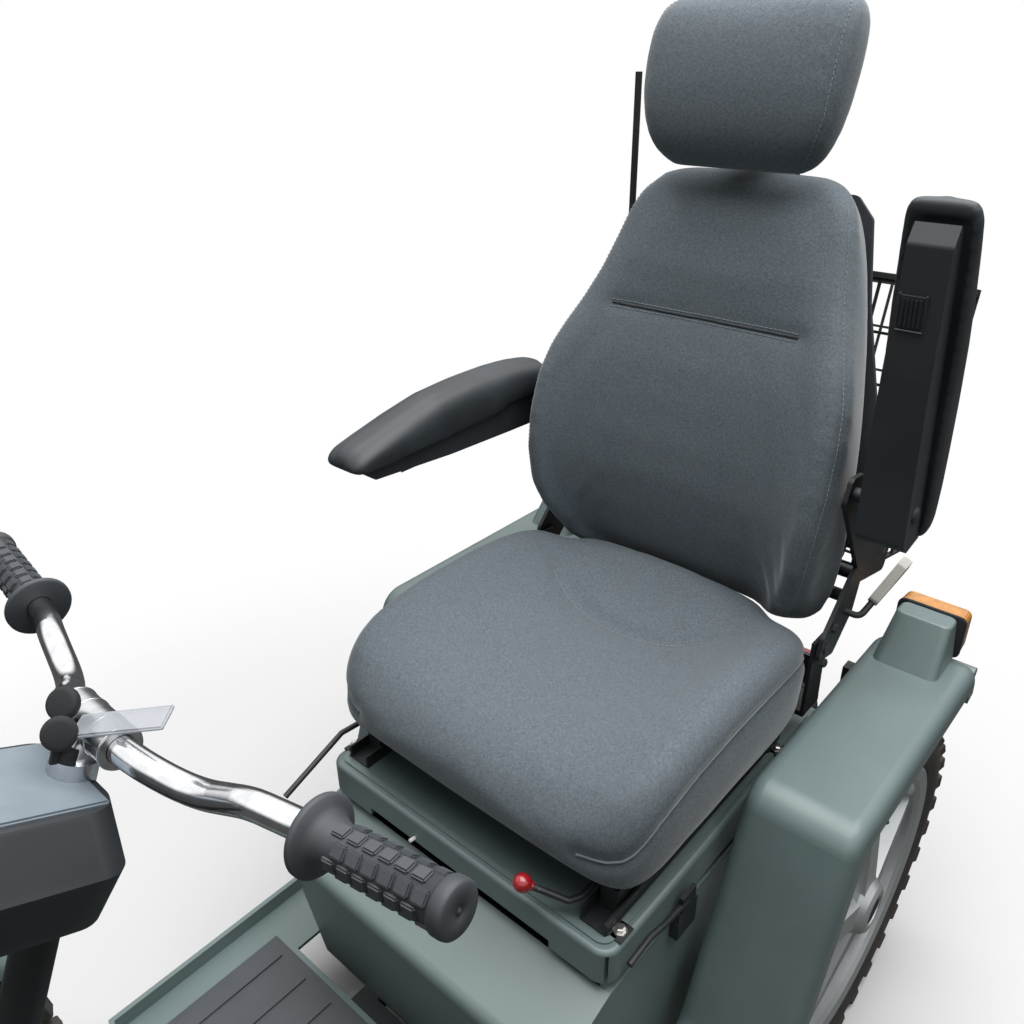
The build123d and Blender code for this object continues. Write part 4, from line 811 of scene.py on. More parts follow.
def scatter_recipe():
    r = Recipe("copies_on_points", Part="Object")
    part = r.node("GeometryNodeObjectInfo", {}, {"Object": r.given("Part")}, "Geometry")
    aim = r.node("GeometryNodeInputNamedAttribute", {"data_type": "FLOAT_VECTOR"}, {"Name": "aim"})
    along = r.node("GeometryNodeInputNamedAttribute", {"data_type": "FLOAT_VECTOR"}, {"Name": "along"})
    stand = r.node("FunctionNodeAlignRotationToVector", {"axis": "Z"}, {"Vector": aim})
    turned = {"Rotation": stand, "Vector": along}
    swing = r.node("FunctionNodeAlignRotationToVector", {"axis": "X", "pivot_axis": "Z"}, turned)
    sockets = {"Points": r.given("Geometry"), "Instance": part, "Rotation": swing}
    return r.close(r.node("GeometryNodeInstanceOnPoints", {}, sockets))


def drum_recipe():
    sizes = {key: "Float" for key in ("Radius", "Pitch", "Stagger", "Slip")}
    r = Recipe("blocks_round_a_drum", Part="Object", Count="Int", Rows="Int", **sizes)
    part = r.node("GeometryNodeObjectInfo", {}, {"Object": r.given("Part")}, "Geometry")
    count, rows = r.given("Count"), r.given("Rows")
    spots = r.node("GeometryNodePoints", {}, {"Count": count * rows})
    number = r.node("GeometryNodeInputIndex")
    row = (number / count).floor()
    column = number - row * count
    odd = column - (column * 0.5).floor() * 2.0
    angle = (number + row * r.given("Stagger")) * (2 * math.pi) / count
    reach = r.given("Radius")
    along = (row - (rows - 1.0) * 0.5 + odd * r.given("Slip")) * r.given("Pitch")
    sockets = {"X": angle.cos() * reach, "Y": angle.sin() * reach, "Z": along}
    place = r.node("ShaderNodeCombineXYZ", {}, sockets)
    moved = r.node("GeometryNodeSetPosition", {}, {"Geometry": spots, "Position": place})
    turn = r.node("ShaderNodeCombineXYZ", {}, {"Z": angle})
    sockets = {"Points": moved, "Instance": part, "Rotation": turn}
    return r.close(r.node("GeometryNodeInstanceOnPoints", {}, sockets))


def grow(name, recipe, base, finish, smooth=True, **inputs):
    """Run a tree on a base mesh and keep the result as a plain mesh."""
    piece = new_piece(name, base)
    modifier = piece.modifiers.new(recipe.tree.name, "NODES")
    modifier.node_group = recipe.tree
    inputs["Finish"] = finish
    for item in recipe.tree.interface.items_tree:
        if item.in_out == "INPUT" and item.name in inputs:
            modifier[item.identifier] = inputs[item.name]
    mesh = freeze(piece)
    if not smooth:
        mesh.shade_flat()
    return piece


TUBE, SCATTER, DRUM = tube_recipe(), scatter_recipe(), drum_recipe()
print("trees", [r.tree.name for r in (TUBE, SCATTER, DRUM)])

# %% [markdown]
# The small parts that the trees copy are turned on a lathe or cut as bevelled blocks. The objects that
# hold them are never linked to the scene, so only their copies show.


# %% Small makers
def wire_mesh(name, *lines):
    """A mesh of edges only, one chain per line; a line that ends where it starts is closed."""
    verts, edges = [], []
    for line in lines:
        first = len(verts)
        closed = (Vector(line[0]) - Vector(line[-1])).length < 1e-6
        points = line[:-1] if closed else line
        verts += [tuple(p) for p in points]
        edges += [(first + k, first + k + 1) for k in range(len(points) - 1)]
        if closed:
            edges.append((first + len(points) - 1, first))
    mesh = bpy.data.meshes.new(name)
    mesh.from_pydata(verts, edges, [])
    return mesh


def spot_mesh(name, spots):
    """Points with the two directions that the scatter tree reads: place, aim, along."""
    mesh = bpy.data.meshes.new(name)
    mesh.from_pydata([tuple(s[0]) for s in spots], [], [])
    for key, column in (("aim", 1), ("along", 2)):
        store = mesh.attributes.new(key, "FLOAT_VECTOR", "POINT")
        store.data.foreach_set("vector", [c for s in spots for c in s[column]])
    return mesh


def lathe(name, profile, around=48):
    """Turn a profile of (radius, height) about Z."""
    verts, faces = [], []
    for k in range(around):
        turn = 2 * math.pi * k / around
        verts += [(r * math.cos(turn), r * math.sin(turn), h) for r, h in profile]
    rows = len(profile)
    for k in range(around):
        a, b = k * rows, (k + 1) % around * rows
        for j in range(rows - 1):
            faces.append((a + j, b + j, b + j + 1, a + j + 1))
    return smooth_mesh(name, verts, faces)


def block_mesh(name, size, bevel, segments=1, taper=1.0):
    """A box with rounded edges, its top face drawn in by the taper."""
    mesh = bpy.data.meshes.new(name)
    shell = bmesh.new()
    bmesh.ops.create_cube(shell, size=1.0)
    for vert in shell.verts:
        share = taper if vert.co.z > 0 else 1.0
        vert.co = Vector((vert.co.x * size[0] * share, vert.co.y * size[1] * share, vert.co.z * size[2]))
    bmesh.ops.bevel(shell, geom=shell.edges[:], offset=bevel, segments=segments, affect="EDGES")
    shell.to_mesh(mesh)
    shell.free()
    return mesh


def maker(mesh):
    """An object for the trees to copy, kept out of the scene."""
    return bpy.data.objects.new(mesh.name, mesh)


def stand_at(place, aim, along=(1.0, 0.0, 0.0)):
    """The matrix that carries local Z to aim and local X towards along."""
    z = Vector(aim).normalized()
    y = z.cross(Vector(along)).normalized()
    turn = Matrix((y.cross(z), y, z)).transposed()
    return Matrix.Translation(Vector(place)) @ turn.to_4x4()


def moved(mesh, place, aim=(0, 0, 1), along=(1.0, 0.0, 0.0)):
    mesh.transform(stand_at(place, aim, along))
    return mesh


def join(name, parts, *finishes):
    """One mesh from (mesh, finish number) pairs, each part keeping its own finish."""
    shell = bmesh.new()
    for mesh, number in parts:
        first = len(shell.faces)
        shell.from_mesh(mesh)
        shell.faces.ensure_lookup_table()
        for face in shell.faces[first:]:
            face.material_index = number
    mesh = bpy.data.meshes.new(name)
    shell.to_mesh(mesh)
    shell.free()
    return new_piece(name, mesh, *finishes)


def node_middle(node):
    low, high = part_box(node)
    return (Vector(low) + Vector(high)) / 2


def fit(piece, body, slot, *nodes):
    """Tell the frame what the piece rides on and what it stands for; the slot is not used."""
    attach(piece, body)
    if nodes:
        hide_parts(*nodes)
    print(piece.name, len(piece.data.polygons), "faces on", body)


BOLT_PROFILE = (
    # radius, height
    (0.0, 0.0055),
    (0.0045, 0.0055),
    (0.0062, 0.0044),
    (0.0064, 0.0),
    (0.009, 0.0),
    (0.009, -0.0015),
    (0.0, -0.0015),
)
BOLT = maker(lathe("bolt_head", BOLT_PROFILE, 6))
STITCH = maker(block_mesh("stitch", (0.0046, 0.0011, 0.0011), 0.0004))

# %% [markdown]
# The tyres carry square knobs, as a trail tyre does. The CAD tyre has plain lugs. Here the carcass is
# turned on the lathe with a round sidewall, and the drum tree lays two shoulder rows and two staggered
# middle rows of bevelled knobs on it. One tyre is made and copied to the four wheels.

# %% Tyres
CARCASS_HALF = (
    # radius, distance from the wheel's middle plane
    (0.2045, 0.0235),
    (0.2165, 0.0245),
    (0.2190, 0.0300),
    (0.2215, 0.0305),
    (0.2300, 0.0345),
    (0.2400, 0.0365),
    (0.2490, 0.0362),
    (0.2560, 0.0340),
    (0.2610, 0.0290),
    (0.2640, 0.0190),
    (0.2650, 0.0080),
)
KNOBS = 32


def knob_maker(name, size, tilt):
    """A knob whose outward direction is local X, leaning sideways by the tilt."""
    mesh = block_mesh(name, size, 0.0016, 1, 0.86)
    mesh.transform(Matrix.Rotation(math.radians(90), 4, "Y"))
    mesh.transform(Matrix.Rotation(math.radians(tilt), 4, "Y"))
    return maker(mesh)


def blank():
    return bpy.data.meshes.new("blank")


def take_mesh(piece):
    """Keep a helper piece's mesh and drop its object."""
    mesh = piece.data
    bpy.data.objects.remove(piece)
    return mesh


def drum_mesh(part, finish, smooth=False, **inputs):
    return take_mesh(grow("drum", DRUM, blank(), finish, smooth, Part=part, **inputs))


def knob_rows(knob, **inputs):
    return drum_mesh(knob, TYRE_SKIN, Count=KNOBS, Slip=0.0, **inputs)


carcass_profile = list(CARCASS_HALF) + [(r, -h) for r, h in reversed(CARCASS_HALF)] + [CARCASS_HALF[0]]
tyre_parts = [(lathe("carcass", carcass_profile, 112), 0)]
for side in (1, -1):
    shoulder = knob_maker("shoulder_knob", (0.018, 0.030, 0.016), -24 * side)
    rows = knob_rows(shoulder, Rows=1, Radius=0.2625, Pitch=0.0, Stagger=0.0)
    turn = Matrix.Rotation(math.pi / KNOBS * (0.5 - 0.5 * side), 4, "Z")
    rows.transform(turn @ Matrix.Translation((0, 0, 0.0285 * side)))
    tyre_parts.append((rows, 0))
middle = knob_maker("middle_knob", (0.016, 0.026, 0.016), 0)
rows = knob_rows(middle, Rows=2, Radius=0.2655, Pitch=0.019, Stagger=0.5)
rows.transform(Matrix.Rotation(math.pi / KNOBS * 0.5, 4, "Z"))
tyre_parts.append((rows, 0))
tyre_master = take_mesh(join("tyre_master", tyre_parts, TYRE_SKIN))
WHEELS = ("front_left", "front_right", "rear_left", "rear_right")


def wheel_middle(place):
    return node_middle("tyre_" + place)


for place in WHEELS:
    mesh = moved(tyre_master.copy(), wheel_middle(place), (0, 1, 0))
    fit(new_piece("knobbly_tyre_" + place, mesh), "wheel_" + place, "tyre_rubber", "tyre_" + place)

# %% [markdown]
# Each wheel has a black plug in the sunk middle of its hub and a valve near the rim. The plug is turned
# with a soft rim and a shallow dish, which catches the light better than a flat disc.

# %% Hub plugs and valves
PLUG_PROFILE = (
    (0.0, -0.0015),
    (0.012, -0.0010),
    (0.0165, 0.0010),
    (0.0185, 0.0030),
    (0.0205, 0.0030),
    (0.0212, 0.0018),
    (0.0212, -0.0040),
    (0.0, -0.0040),
)
VALVE_PROFILE = (
    (0.0, 0.030),
    (0.0028, 0.030),
    (0.0036, 0.028),
    (0.0036, 0.014),
    (0.0046, 0.012),
    (0.0048, 0.0),
    (0.0, 0.0),
)
HUB_FACE = 0.0375
VALVE_FOOT = (0.012, 0.189)
for place in WHEELS:
    side = 1 if place.endswith("left") else -1
    hub = wheel_middle(place) + Vector((0, side * HUB_FACE, 0))
    plug = moved(lathe("plug", PLUG_PROFILE, 40), hub, (0, side, 0))
    foot = wheel_middle(place) + Vector((0.0, side * VALVE_FOOT[0], VALVE_FOOT[1]))
    valve = moved(lathe("valve", VALVE_PROFILE, 16), foot, (0, side * 0.75, -1))
    fit(join("hub_plug_" + place, [(plug, 0), (valve, 0)], PLASTIC), "wheel_" + place, "black_plastic")

# %% [markdown]
# The armrests are integral foam on a plastic housing. The pad is a loft along the arm: a crowned top, full
# sides and a rim below that wraps round the housing. The rim stops short on the inner side, where the
# pivot enters. The left arm is folded up and shows its underside, so the recess has to be real.

# %% Armrest pads
ARM_PIVOT = Vector((-0.434, 0.0, 0.885))
ARM_IN, ARM_OUT = 0.258, 0.335
ARM_RAISED = math.radians(82.0)
RIM_STOP, RIM_EASE = 0.062, 0.023
PAD_CORNER = 0.022
PAD_RINGS = (
    # along the arm, top, half width, lower edge, ceiling of the recess
    (-0.046, 0.036, 0.024, 0.012, 0.012),
    (-0.043, 0.044, 0.031, 0.009, 0.013),
    (-0.036, 0.051, 0.036, 0.008, 0.014),
    (-0.020, 0.056, 0.038, 0.007, 0.013),
    (0.020, 0.062, 0.0385, 0.006, 0.012),
    (0.060, 0.0645, 0.0385, 0.004, 0.010),
    (0.130, 0.0645, 0.0385, 0.002, 0.008),
    (0.200, 0.0600, 0.0385, -0.0005, 0.0055),
    (0.260, 0.0475, 0.0385, -0.0025, 0.0035),
    (0.310, 0.0345, 0.038, -0.004, 0.002),
    (0.3405, 0.0262, 0.037, -0.005, 0.001),
    (0.3435, 0.0250, 0.0365, -0.0052, -0.0052),
    (0.351, 0.0210, 0.035, -0.0050, -0.0050),
    (0.357, 0.0155, 0.031, -0.0035, -0.0035),
    (0.360, 0.0080, 0.025, 0.000, 0.000),
)


def arm_point(side, along, across, up):
    """A place on an arm: along from the pivot, across from its middle, up from the pivot."""
    middle = (ARM_IN + ARM_OUT) / 2
    if side > 0:
        c, s = math.cos(ARM_RAISED), math.sin(ARM_RAISED)
        along, up = c * along - s * up, s * along + c * up
    return ARM_PIVOT + Vector((along, side * (middle + across), up))


def pad_edge(half, wall, low, ceiling):
    """The rim on one side of the recess, from its ceiling to the outside."""
    inner = half - wall
    return [(inner, ceiling), (inner + 0.001, low + 0.0012), (half - 0.003, low), (half, low + 0.004)]


def pad_ring(side, along):
    """One ring of a pad: outer rim, outer side, crown, inner side, inner rim, recess."""
    top, half, low, ceiling = [blend_table(PAD_RINGS, c, along) for c in range(1, 5)]
    full = 0.46 * (top - low)
    flat = half - PAD_CORNER
    wall = min(0.0085, 0.3 * half)
    share = min(1.0, max(0.0, (along - RIM_STOP) / RIM_EASE))
    inner_low = ceiling + (low - ceiling) * share
    turns = [math.radians(k * 90 / 8) for k in range(9)]
    shoulder = [(flat + PAD_CORNER * math.cos(a), top - 0.004 - full * (1 - math.sin(a))) for a in turns]
    crown = [flat * (1 - k / 4) for k in range(1, 8)]
    ring = pad_edge(half, wall, low, ceiling) + shoulder
    ring += [(y, top - 0.004 * (y / half) ** 2) for y in crown]
    inside = pad_edge(half, wall, inner_low, ceiling) + shoulder
    ring += [(-y, z) for y, z in reversed(inside)]
    ring += [(-half + wall + (2 * half - 2 * wall) * k / 6, ceiling) for k in range(1, 6)]
    return [arm_point(side, along, y, z) for y, z in ring]


PAD_ALONGS = sorted({r[0] for r in PAD_RINGS} | {-0.046 + 0.406 * k / 80 for k in range(81)})
for side, name in ((1, "left"), (-1, "right")):
    rings = [pad_ring(side, along) for along in PAD_ALONGS]
    pad = padded_piece(
        "armrest_cover_" + name,
        rings,
        voxel=0.003,
        seams=[],
        press=0.0,
        width=0.01,
        pressure=1.2,
        reach=0.0025,
        finish=PAD_SKIN,
    )
    fit(pad, "armrest_" + name, "pad_black", "armrest_pad_" + name)

# %% [markdown]
# The grips are soft rubber with a waffle of raised pads between a trumpet flange and a plain end ring. The
# core is turned, and the drum tree lays the pads in columns, each column slipped by half a pad against
# its neighbours. The pads have two bevel steps, so that their edges catch a thin line of light.

# %% Waffle grips
BAR_END = Vector((0.338, 0.321, 0.938))
BAR_KNEE = Vector((0.349, 0.192, 0.922))
GRIP_LONG = 0.118
GRIP_PROFILE = (
    # radius, distance from the flange
    (0.0115, 0.000),
    (0.0270, 0.000),
    (0.0288, 0.0012),
    (0.0290, 0.0040),
    (0.0275, 0.0058),
    (0.0220, 0.0078),
    (0.0182, 0.0115),
    (0.0166, 0.0160),
    (0.0158, 0.0200),
    (0.0152, 0.0215),
    (0.0152, 0.1080),
    (0.0160, 0.1092),
    (0.0178, 0.1102),
    (0.0186, 0.1116),
    (0.0188, 0.1170),
    (0.0182, 0.1200),
    (0.0168, 0.1214),
    (0.0045, 0.1214),
    (0.0040, 0.1206),
    (0.0018, 0.1206),
    (0.0014, 0.1216),
    (0.0000, 0.1218),
)
PAD_SIZE = (0.0118, 0.0104, 0.0036)
WAFFLE = {"Count": 8, "Rows": 6, "Radius": 0.0152, "Pitch": 0.0136, "Stagger": 0.0, "Slip": 0.5}
WAFFLE_MIDDLE = 0.0613
waffle = block_mesh("waffle_pad", PAD_SIZE, 0.0011, 2, 0.94)
waffle.transform(Matrix.Rotation(math.radians(90), 4, "Y"))
waffle = maker(waffle)


def on_side(side, point):
    return Vector((point[0], side * point[1], point[2]))


grip_parts = []
for side in (1, -1):
    end, knee = on_side(side, BAR_END), on_side(side, BAR_KNEE)
    along = (end - knee).normalized()
    start = end - along * GRIP_LONG
    core = moved(lathe("grip_core", GRIP_PROFILE, 48), start, along)
    pads = moved(drum_mesh(waffle, GRIP_SKIN, **WAFFLE), start + along * WAFFLE_MIDDLE, along)
    grip_parts += [(core, 0), (pads, 0)]
fit(join("waffle_grips", grip_parts, GRIP_SKIN), "tiller", "grip_rubber", "grips")

# %% [markdown]
# The stem carries the clamp with its thin rings, a pan-head screw and the ignition keys. Two keys have
# round black heads. A clear blank fob hangs from them and lies towards the seat.

# %% Stem trim and keys
STEM_TOP = Vector((0.414, 0.0, 0.915))
STEER_AXIS = Vector((-0.4216, 0.0, 0.9068))
SCREW_PROFILE = (
    (0.0, 0.0042),
    (0.002, 0.0042),
    (0.0024, 0.0032),
    (0.0036, 0.0032),
    (0.0078, 0.0022),
    (0.0098, 0.0),
    (0.0118, 0.0),
    (0.0118, -0.0014),
    (0.0, -0.0014),
)
RING_PROFILE = (
    (0.0168, -0.0012),
    (0.0176, -0.0006),
    (0.0176, 0.0006),
    (0.0168, 0.0012),
    (0.0168, -0.0012),
)
screw = moved(lathe("stem_screw", SCREW_PROFILE, 24), STEM_TOP, STEER_AXIS)
collars = [(screw, 0)]
for side in (1, -1):
    for across in (0.014, 0.034):
        ring = lathe("clamp_ring", RING_PROFILE, 40)
        collars.append((moved(ring, (0.394, side * across, 0.928), (0, side, 0)), 0))
fit(join("stem_trim", collars, ALLOY), "tiller", "clamp_alloy")

KEY_PROFILE = (
    (0.0, 0.0045),
    (0.009, 0.0045),
    (0.0118, 0.0036),
    (0.0126, 0.0020),
    (0.0126, -0.0020),
    (0.0118, -0.0036),
    (0.009, -0.0045),
    (0.0, -0.0045),
)
KEY_SPOTS = (
    # place of the head, direction it faces
    ((0.4215, 0.006, 0.9440), (0.3, 0.75, 0.45)),
    ((0.4080, -0.012, 0.9530), (0.55, 0.35, 0.6)),
)
key_parts = []
for place, facing in KEY_SPOTS:
    key_parts.append((moved(lathe("key_head", KEY_PROFILE, 32), place, facing), 0))
    neck = block_mesh("key_neck", (0.006, 0.004, 0.018), 0.0008)
    key_parts.append((moved(neck, Vector(place) - STEER_AXIS * 0.015, STEER_AXIS), 0))
LOCK_PROFILE = ((0.0, 0.006), (0.0075, 0.006), (0.0085, 0.005), (0.0088, -0.012), (0.0, -0.012))
LOCK_PLACE = Vector((0.4205, 0.003, 0.9215))
key_parts.append((moved(lathe("lock_barrel", LOCK_PROFILE, 28), LOCK_PLACE, STEER_AXIS), 0))
fit(join("ignition_keys", key_parts, BLACK_AND_SHADE), "tiller", "black_plastic")

FOB_START = Vector((0.409, 0.004, 0.9475))
FOB_END = Vector((0.367, 0.065, 0.950))
fob_along = (FOB_END - FOB_START).normalized()
fob = block_mesh("fob_plate", (0.078, 0.022, 0.004), 0.0013, 2)
fob_tilt = Vector((0.25, -0.1, 0.95))
fob = moved(fob, (FOB_START + FOB_END) / 2, fob_tilt, fob_along)
fit(join("clear_fob", [(fob, 0)], CLEAR_SHEET), "tiller", "clear_lens")

# %% [markdown]
# The console's top is a flat blank panel on the black pod, coloured grey-blue as a painted reflection of
# the sky on its black plastic. It stands a little proud, so that its edge throws a fine line of shade.

# %% Console panel
POD_PLACE = Vector((0.4266, 0.0, 0.8878))
POD_BACK = Vector((-0.9068, 0.0, -0.4216))


def on_pod(across, back, up):
    return POD_PLACE + Vector((0, across, 0)) + POD_BACK * back + STEER_AXIS * up


panel = block_mesh("console_panel", (0.096, 0.112, 0.005), 0.0016, 2)
panel = moved(panel, on_pod(0.0, -0.050, 0.0145), STEER_AXIS, (0, 1, 0))
fit(join("console_panel", [(panel, 0)], CONSOLE_REFLECTION), "tiller", "black_plastic")

# %% [markdown]
# Piping and stitches follow the same lines that pressed the seams, so they cannot drift away from them.
# Each line is first dropped onto the finished skin, since the foam has moved it. The tube tree makes the
# cord, and the scatter tree sets one stitch on every point.

# %% Piping and stitches
STITCH_STEP = 0.0062
CORD_STEP = 0.006


def drop_on(piece, line, lift):
    """Move the points of a line onto the nearest skin, and return places and normals."""
    skin = piece.data
    tree = BVHTree.FromPolygons([v.co for v in skin.vertices], [p.vertices for p in skin.polygons])
    places, normals = [], []
    for point in line:
        place, normal, _, _ = tree.find_nearest(Vector(point))
        places.append(place + normal * lift)
        normals.append(normal)
    return places, normals


def even_line(line, step):
    """Points at even steps along a line."""
    points = [Vector(p) for p in line]
    out, carry = [], 0.0
    for a, b in zip(points, points[1:]):
        long = (b - a).length
        while carry < long:
            out.append(a + (b - a) * (carry / long))
            carry += step
        carry -= long
    return out


def piping(name, piece, body, lines, radius, finish):
    chains = [drop_on(piece, even_line(line, CORD_STEP), radius * 0.2)[0] for line in lines]
    cord = grow(name, TUBE, wire_mesh(name, *chains), finish, Radius=radius, Sides=8)
    fit(cord, body, "seat_fabric")


def stitching(name, piece, body, lines):
    spots = []
    for line in lines:
        places, normals = drop_on(piece, even_line(line, STITCH_STEP), 0.0004)
        for k in range(len(places) - 1):
            spots.append((places[k], normals[k], (places[k + 1] - places[k]).normalized()))
    stitches = grow(name, SCATTER, spot_mesh(name, spots), THREAD, False, Part=STITCH)
    fit(stitches, body, "seat_fabric")


def beside(line, shift=(0.004, 0.0, 0.0)):
    return [Vector(p) + Vector(shift) for p in line]


def both_sides(line):
    return [line, mirror_line(line)]


side_lines = [beside(line) for line in both_sides(back_seam)]
head_lines = [beside(line) for line in both_sides(head_seam)]
chest_lines = [beside(chest_seam, BACK_UP * shift) for shift in (0.004, -0.004)]
piping("seat_piping", seat_cushion, "seat", both_sides(seat_piping), 0.0016, PIPING_HIGHLIGHT)
stitching("smile_stitches", seat_cushion, "seat", [beside(smile_seam)])
stitching("chest_stitches", backrest_cushion, "backrest", chest_lines)
# A thin near-black cord along the chest seam is painted shade in the fold.
piping("chest_fold", backrest_cushion, "backrest", [chest_seam], 0.0013, BLACK_AND_SHADE)
stitching("back_stitches", backrest_cushion, "backrest", side_lines)
stitching("head_stitches", headrest_cushion, "backrest", head_lines)

# %% [markdown]
# The armrest housing has a window for the height wheel, with ribs along the arm and a ledge below, and a
# round plug over the pivot on its outer side. They are set on the underside, in the arm's own directions.
# A near-black plate behind the ribs is painted shade of the window's opening.

# %% Armrest window and plug
WINDOW_ALONG = 0.252
WINDOW_DEEP = -0.0292


def arm_frame(side, along, across, up, aim=(0, 0, -1)):
    """A matrix on the arm whose X runs along it and whose Z is the aim, given in the arm's directions."""
    place = arm_point(side, along, across, up)
    x = (arm_point(side, along + 1.0, across, up) - place).normalized()
    z = sum((d * a for d, a in zip(arm_axes(side), aim)), Vector())
    return stand_at(place, z, x)


def arm_axes(side):
    base = arm_point(side, 0, 0, 0)
    return [arm_point(side, *step) - base for step in ((1, 0, 0), (0, 1, 0), (0, 0, 1))]


WINDOW_PARTS = (
    # size, bevel, bevel steps, shift along, across, shift up, finish number
    # The first row is a near-black plate across the window: painted shade of the opening behind the ribs.
    ((0.036, 0.026, 0.003), 0.0006, 1, 0.0, -0.006, 0.0, 1),
    *[((0.031, 0.0026, 0.005), 0.0009, 2, 0.0, -0.0148 + 0.0044 * k, -0.0012, 0) for k in range(5)],
    ((0.040, 0.0022, 0.0044), 0.0008, 1, 0.0, -0.0195, 0.0, 0),
    ((0.040, 0.0022, 0.0044), 0.0008, 1, 0.0, 0.0075, 0.0, 0),
    ((0.0024, 0.029, 0.0056), 0.0009, 1, -0.0195, -0.006, -0.0006, 0),
)
PIVOT_PLUG = (
    (0.0, 0.002),
    (0.0075, 0.002),
    (0.0088, 0.0012),
    (0.0094, 0.0),
    (0.0104, 0.0),
    (0.0104, -0.002),
    (0.0, -0.002),
)
for side, name in ((1, "left"), (-1, "right")):
    parts = []
    for size, bevel, steps, along, across, up, number in WINDOW_PARTS:
        bar = block_mesh("window_bar", size, bevel, steps)
        bar.transform(arm_frame(side, WINDOW_ALONG + along, across, WINDOW_DEEP + up))
        parts.append((bar, number))
    plug = lathe("pivot_plug", PIVOT_PLUG, 28)
    plug.transform(arm_frame(side, 0.004, 0.0292, -0.014, (0, 1, 0)))
    parts.append((plug, 0))
    fit(join("armrest_window_" + name, parts, PLASTIC, BLACK_AND_SHADE), "armrest_" + name, "black_plastic")

# %% [markdown]
# The turn lamps sit behind the pods on the rear guards. Each has a black gasket and an amber lens with
# fine upright flutes, which a plain block would not show.

# %% Turn lamps
LAMP_LOW, LAMP_HIGH = 0.584, 0.6505
LAMP_FRONT, LAMP_REAR = -0.628, -0.664
LAMP_IN, LAMP_OUT = 0.276, 0.371


def lamp_ring(side, x, grow_by):
    """A rounded rectangle across the lamp."""
    low, high = LAMP_LOW - grow_by, LAMP_HIGH + grow_by
    inner, outer = LAMP_IN - grow_by, LAMP_OUT + grow_by
    corner = 0.010
    ring = []
    for cy, cz, start in ((outer, high, 0), (inner, high, 90), (inner, low, 180), (outer, low, 270)):
        for k in range(5):
            turn = math.radians(start + k * 22.5)
            y = cy + corner * (math.cos(turn) - (1 if cy == outer else -1))
            z = cz + corner * (math.sin(turn) - (1 if cz == high else -1))
            ring.append((x, side * y, z))
    return ring


LENS_STEPS = (
    # place along the vehicle, growth of the outline
    (LAMP_FRONT, 0.0),
    (LAMP_FRONT - 0.004, 0.0),
    (LAMP_REAR + 0.007, -0.001),
    (LAMP_REAR + 0.002, -0.004),
    (LAMP_REAR, -0.009),
)
GASKET_STEPS = (
    (LAMP_FRONT + 0.0025, 0.0),
    (LAMP_FRONT + 0.002, 0.0008),
    (LAMP_FRONT - 0.0015, 0.0008),
    (LAMP_FRONT - 0.002, 0.0),
)
FLUTES = 14
lamp_parts = []
gasket_parts = []
for side in (1, -1):
    lamp_parts.append((ring_loft("lens", [lamp_ring(side, *step) for step in LENS_STEPS]), 0))
    gasket_parts.append((ring_loft("gasket", [lamp_ring(side, *step) for step in GASKET_STEPS]), 0))
    for k in range(FLUTES):
        across = LAMP_IN + 0.012 + (LAMP_OUT - LAMP_IN - 0.024) * k / (FLUTES - 1)
        flute = block_mesh("flute", (0.0022, 0.003, LAMP_HIGH - LAMP_LOW - 0.022), 0.0008)
        place = (LAMP_REAR + 0.0008, side * across, (LAMP_LOW + LAMP_HIGH) / 2)
        lamp_parts.append((moved(flute, place), 0))
lens = join("turn_lamp_lenses", lamp_parts, AMBER)
lens.data.shade_flat()
fit(lens, "chassis", "amber_lens", "rear_indicators")
fit(join("turn_lamp_gaskets", gasket_parts, BLACK_AND_SHADE), "chassis", "black_plastic")

# %% [markdown]
# Small parts make the seat believable: bolts on ears beside the slide rails, bolts at the recliner, the
# thin side stays that run from the lid past the box, and the peg of the lid lock. The stays are bent wire,
# so the tube tree draws them along a few points. The rail's own channel is left free for the slider.

# %% Rails, stays and bolts
STAYS = (
    # side, points (forward, up)
    (-1, ((-0.024, 0.516), (0.010, 0.519), (0.113, 0.476))),
    (1, ((-0.110, 0.462), (-0.058, 0.469), (-0.026, 0.479), (0.014, 0.474))),
)
STAY_Y = 0.2475
stay_lines = [[(x, side * STAY_Y, z) for x, z in points] for side, points in STAYS]
stays = grow("side_stays", TUBE, wire_mesh("side_stays", *stay_lines), POWDER, Radius=0.004, Sides=10)
fit(stays, "lid", "black_steel")


def bolts(name, body, slot, finish, spots):
    fit(grow(name, SCATTER, spot_mesh(name, spots), finish, False, Part=BOLT), body, slot)


EAR_Y, EAR_Z = 0.2265, 0.5015
EAR_SIZE = (0.026, 0.020, 0.003)
bolt_spots = []
ears = []
for side in (1, -1):
    for x in (0.004, -0.375):
        bolt_spots.append(((x, side * EAR_Y, EAR_Z + EAR_SIZE[2]), (0, 0, 1), (1, 0, 0)))
        ears.append((moved(block_mesh("ear", EAR_SIZE, 0.0008), (x, side * EAR_Y, EAR_Z)), 0))
bolts("rail_bolts", "lid", "bright_steel", ZINC, bolt_spots)
fit(join("rail_ears", ears, POWDER), "lid", "black_steel")

RECLINER_Y = 0.2475
RECLINER_BOLTS = ((-0.02, 0.0), (0.03, -0.006), (0.19, -0.012))
back_spots = []
for side in (1, -1):
    for up, forward in RECLINER_BOLTS:
        back_spots.append((on_back(side * RECLINER_Y, up, forward), (0, side, 0), (1, 0, 0)))
bolts("recliner_bolts", "backrest", "black_steel", POWDER, back_spots)

# %% Lid lock and slide knob
PEG_PROFILE = ((0.0, 0.009), (0.0022, 0.009), (0.0027, 0.0082), (0.0027, -0.004), (0.0, -0.004))
peg = moved(lathe("lock_peg", PEG_PROFILE, 16), (0.0425, -0.068, 0.468), (1, 0, 0.15))
fit(join("lid_lock_peg", [(peg, 0)], WHITE_PEG), "lid", "bright_steel")

